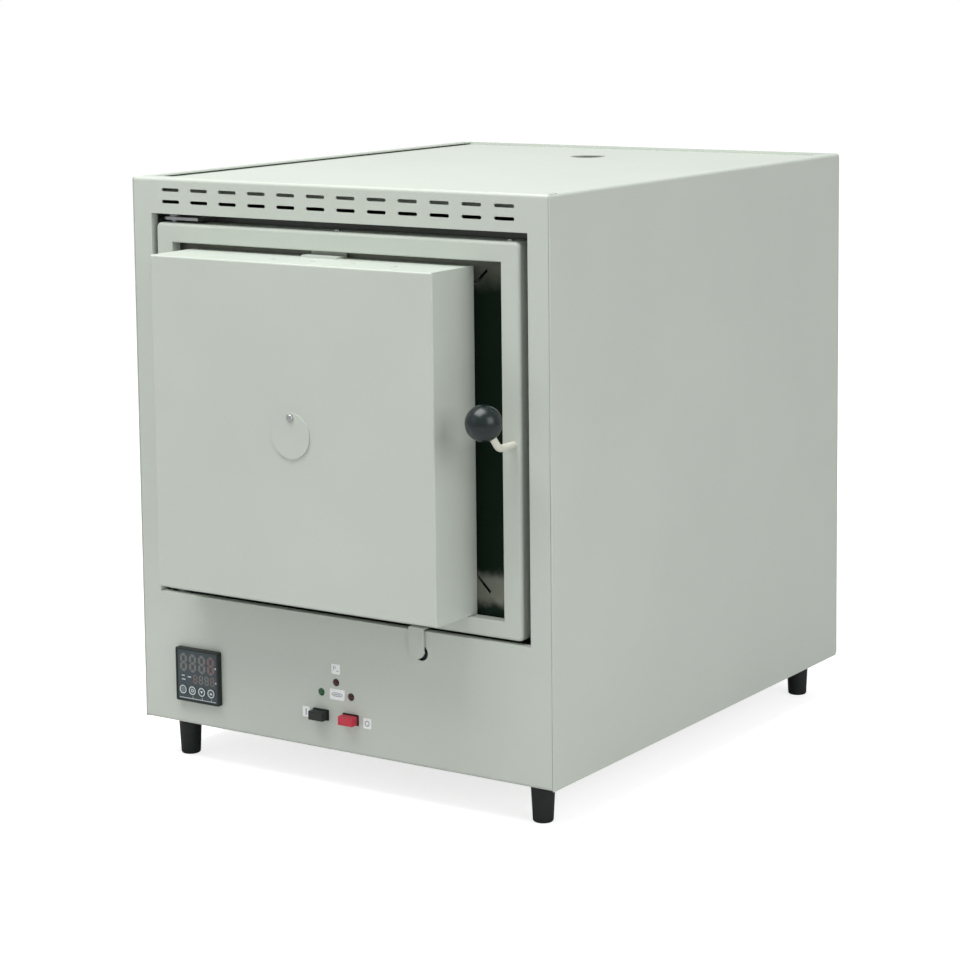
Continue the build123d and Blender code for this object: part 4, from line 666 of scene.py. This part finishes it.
# %% Twisted rope seal
seal_low, seal_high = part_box("door_seal")
ROPE_WIDTH = 8 * MM
ROPE_CORNER = 10 * MM
ROPE_STEP = 0.8 * MM         # distance between the outlines along the rope
ROPE_SIDES = 40              # points round the rope
STRANDS = 8
STRAND_SWELL = 0.16          # how far a strand stands out, as a share of the rope's half width
STRAND_PITCH = 46 * MM


def corner_path(width, height, radius, step):
    """Points every step along a rounded rectangle, with the outward direction at each and the share
    of the whole length that lies before it."""
    t = np.linspace(0, np.pi / 2, 25)
    ways = np.concatenate([t, t + np.pi / 2, t + np.pi, t + 1.5 * np.pi])
    hubs = np.repeat(np.array([(1, 1), (-1, 1), (-1, -1), (1, -1)]), 25, axis=0)
    out = np.stack([np.cos(ways), np.sin(ways)], axis=-1)
    points = hubs * (width / 2 - radius, height / 2 - radius) + out * radius
    points, ways = np.vstack([points, points[:1]]), np.append(ways, 2 * np.pi)
    run = np.append(0, np.cumsum(np.linalg.norm(np.diff(points, axis=0), axis=1)))
    count = int(run[-1] / step)
    at = np.arange(count) * run[-1] / count
    turn = np.interp(at, run, ways)
    place = np.stack([np.interp(at, run, points[:, 0]), np.interp(at, run, points[:, 1])], axis=-1)
    return place, np.stack([np.cos(turn), np.sin(turn)], axis=-1), at / run[-1]


place, out, share = corner_path(seal_high[0] - seal_low[0] - ROPE_WIDTH,
                                seal_high[2] - seal_low[2] - ROPE_WIDTH, ROPE_CORNER, ROPE_STEP)
seal_x, seal_z = (seal_low[0] + seal_high[0]) / 2, (seal_low[2] + seal_high[2]) / 2
seal_y = (seal_low[1] + seal_high[1]) / 2
rope_path = np.stack([seal_x + place[:, 0], np.full(len(place), seal_y), seal_z + place[:, 1]], axis=-1)
rope_out = np.stack([out[:, 0], np.zeros(len(out)), out[:, 1]], axis=-1)
rope_turns = round(2 * (seal_high[0] - seal_low[0] + seal_high[2] - seal_low[2]) / STRAND_PITCH)
angle = np.arange(ROPE_SIDES) * 2 * np.pi / ROPE_SIDES
lobes = np.abs(np.cos(STRANDS / 2 * (angle[None] - 2 * np.pi * rope_turns * share[:, None])))
swell = 1 - STRAND_SWELL + STRAND_SWELL * lobes
rope_outline = np.stack([swell * np.cos(angle) * ROPE_WIDTH / 2,
                         swell * np.sin(angle) * (seal_high[1] - seal_low[1]) / 2], axis=-1)
rope_skin = carried(rope_path, rope_out, rope_outline, True)
rope = make_piece("twisted_rope_seal", *rope_skin, fibre, "ceramic_fibre", "door")
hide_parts("door_seal")

# %% [markdown]
# ## Screws on the rear panel
# The rear panel is held by pan-head screws round its edge. A turned head is a circle carried along
# the screw's axis while its radius follows the head's profile. Two crossed bars of dark ink are painted
# shade that stands for the driver's recess, which is too small to cut.

# %% Rear screws
rear_low, rear_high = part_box("rear_panel")
SCREW_INSET = 8 * MM
HEAD_RADIUS = 3.5 * MM
HEAD_HEIGHT = 1.8 * MM


def pan_head(x, z):
    """Turned head on the rear panel: its radius falls off along an ellipse towards the crown."""
    rise = np.linspace(0, 1, 9)
    radius = HEAD_RADIUS * np.sqrt(1 - 0.82 * rise ** 2)
    path = np.stack([np.full(9, x), rear_high[1] + rise * HEAD_HEIGHT, np.full(9, z)], axis=-1)
    outline = circle(1.0, 24)[None] * radius[:, None, None]
    return carried(path, np.tile([1.0, 0, 0], (9, 1)), outline, False)


columns = np.array([rear_low[0] + SCREW_INSET, 0.0, rear_high[0] - SCREW_INSET])
rows = np.linspace(rear_low[2] + SCREW_INSET, rear_high[2] - SCREW_INSET, 4)
rim = [(x, z) for x in columns for z in rows if x != 0 or z in (rows[0], rows[-1])]
make_piece("rear_screws", *joined([pan_head(x, z) for x, z in rim]), zinc, "zinc_steel", "cabinet")
crown = rear_high[1] + HEAD_HEIGHT
cross = np.array([[(-1.5, -0.25), (-1.5, 0.25), (1.5, 0.25), (1.5, -0.25)],
                  [(-0.25, -1.5), (-0.25, 1.5), (0.25, 1.5), (0.25, -1.5)]]) * MM
recesses = (cross[None] + np.array(rim)[:, None, None]).reshape(-1, 4, 2)
# Dark crossed bars: painted shade in place of the screw heads' recesses
recess_shade_marks = prisms(recesses, crown + PRINT, crown - PRINT)
make_piece("rear_screw_recess_shade", *recess_shade_marks, black_plastic, "black_plastic", "cabinet")

# %% [markdown]
# ## Floor and light
# A pale floor, a large soft light overhead and a little forward, and weaker ones in front and to
# the right, as in a product studio. The floor and the sky look white to the camera but light the
# furnace at a plain level, so that its colours come out about as they were mixed.

# %% Floor
FLOOR_HALF = 40.0            # half the floor's width, in metres
FLOOR_LIFT = 0.74            # light added to the floor for the camera alone
SKY_PLAIN, SKY_SEEN = 0.5, 1.0


def studio_floor():
    """Square floor far larger than the view, with white added for what the camera sees."""
    mesh = bpy.data.meshes.new("studio_floor")
    corners = [(-1, -1), (1, -1), (1, 1), (-1, 1)]
    mesh.from_pydata([(x * FLOOR_HALF, y * FLOOR_HALF, 0) for x, y in corners], [], [(0, 1, 2, 3)])
    floor = bpy.data.objects.new("studio_floor", mesh)
    bpy.context.scene.collection.objects.link(floor)
    material, _ = start_finish("studio_white")
    ray = add(material, "ShaderNodeLightPath")
    lift = reckon(material, "MULTIPLY", ray.outputs["Is Camera Ray"], FLOOR_LIFT)
    matt = add(material, "ShaderNodeBsdfDiffuse", Color=colour("#CCCCCC"))
    glow = add(material, "ShaderNodeEmission", Color=(1, 1, 1, 1), Strength=lift)
    both = add(material, "ShaderNodeAddShader")
    material.node_tree.links.new(matt.outputs[0], both.inputs[0])
    material.node_tree.links.new(glow.outputs[0], both.inputs[1])
    mesh.materials.append(end_finish(material, both))
    return floor


studio_floor()
print("floor laid")

# %% Lamps and sky
FURNACE_MIDDLE = (0, 0, 0.3)


def soft_lamp(name, place, aim, size, watts):
    """Square area lamp at a place, turned to face the aim point."""
    data = bpy.data.lights.new(name, "AREA")
    data.shape = "SQUARE"
    data.size = size
    data.energy = watts
    lamp = bpy.data.objects.new(name, data)
    lamp.location = place
    lamp.rotation_euler = (Vector(aim) - Vector(place)).to_track_quat("-Z", "Y").to_euler()
    bpy.context.scene.collection.objects.link(lamp)


soft_lamp("overhead", (-0.3, -0.75, 2.5), FURNACE_MIDDLE, 1.8, 62)
soft_lamp("front_left", (-2.2, -3.2, 1.8), FURNACE_MIDDLE, 2.0, 5)
soft_lamp("right", (3.2, -0.8, 1.6), FURNACE_MIDDLE, 2.0, 34)

sky = bpy.data.worlds.new("studio_sky")
bpy.context.scene.world = sky
sky.use_nodes = True
sky.node_tree.nodes.clear()
sky_ray = add(sky, "ShaderNodeLightPath")
sky_seen = reckon(sky, "MAXIMUM", sky_ray.outputs["Is Camera Ray"],
                  sky_ray.outputs["Is Transmission Ray"])
sky_level = add(sky, "ShaderNodeMapRange", Value=sky_seen, To_Min=SKY_PLAIN, To_Max=SKY_SEEN)
sky_background = add(sky, "ShaderNodeBackground", Color=(1, 1, 1, 1),
                     Strength=sky_level.outputs["Result"])
add(sky, "ShaderNodeOutputWorld", Surface=sky_background.outputs[0])
bpy.context.scene.view_settings.view_transform = "Standard"
print("lamps and sky set")
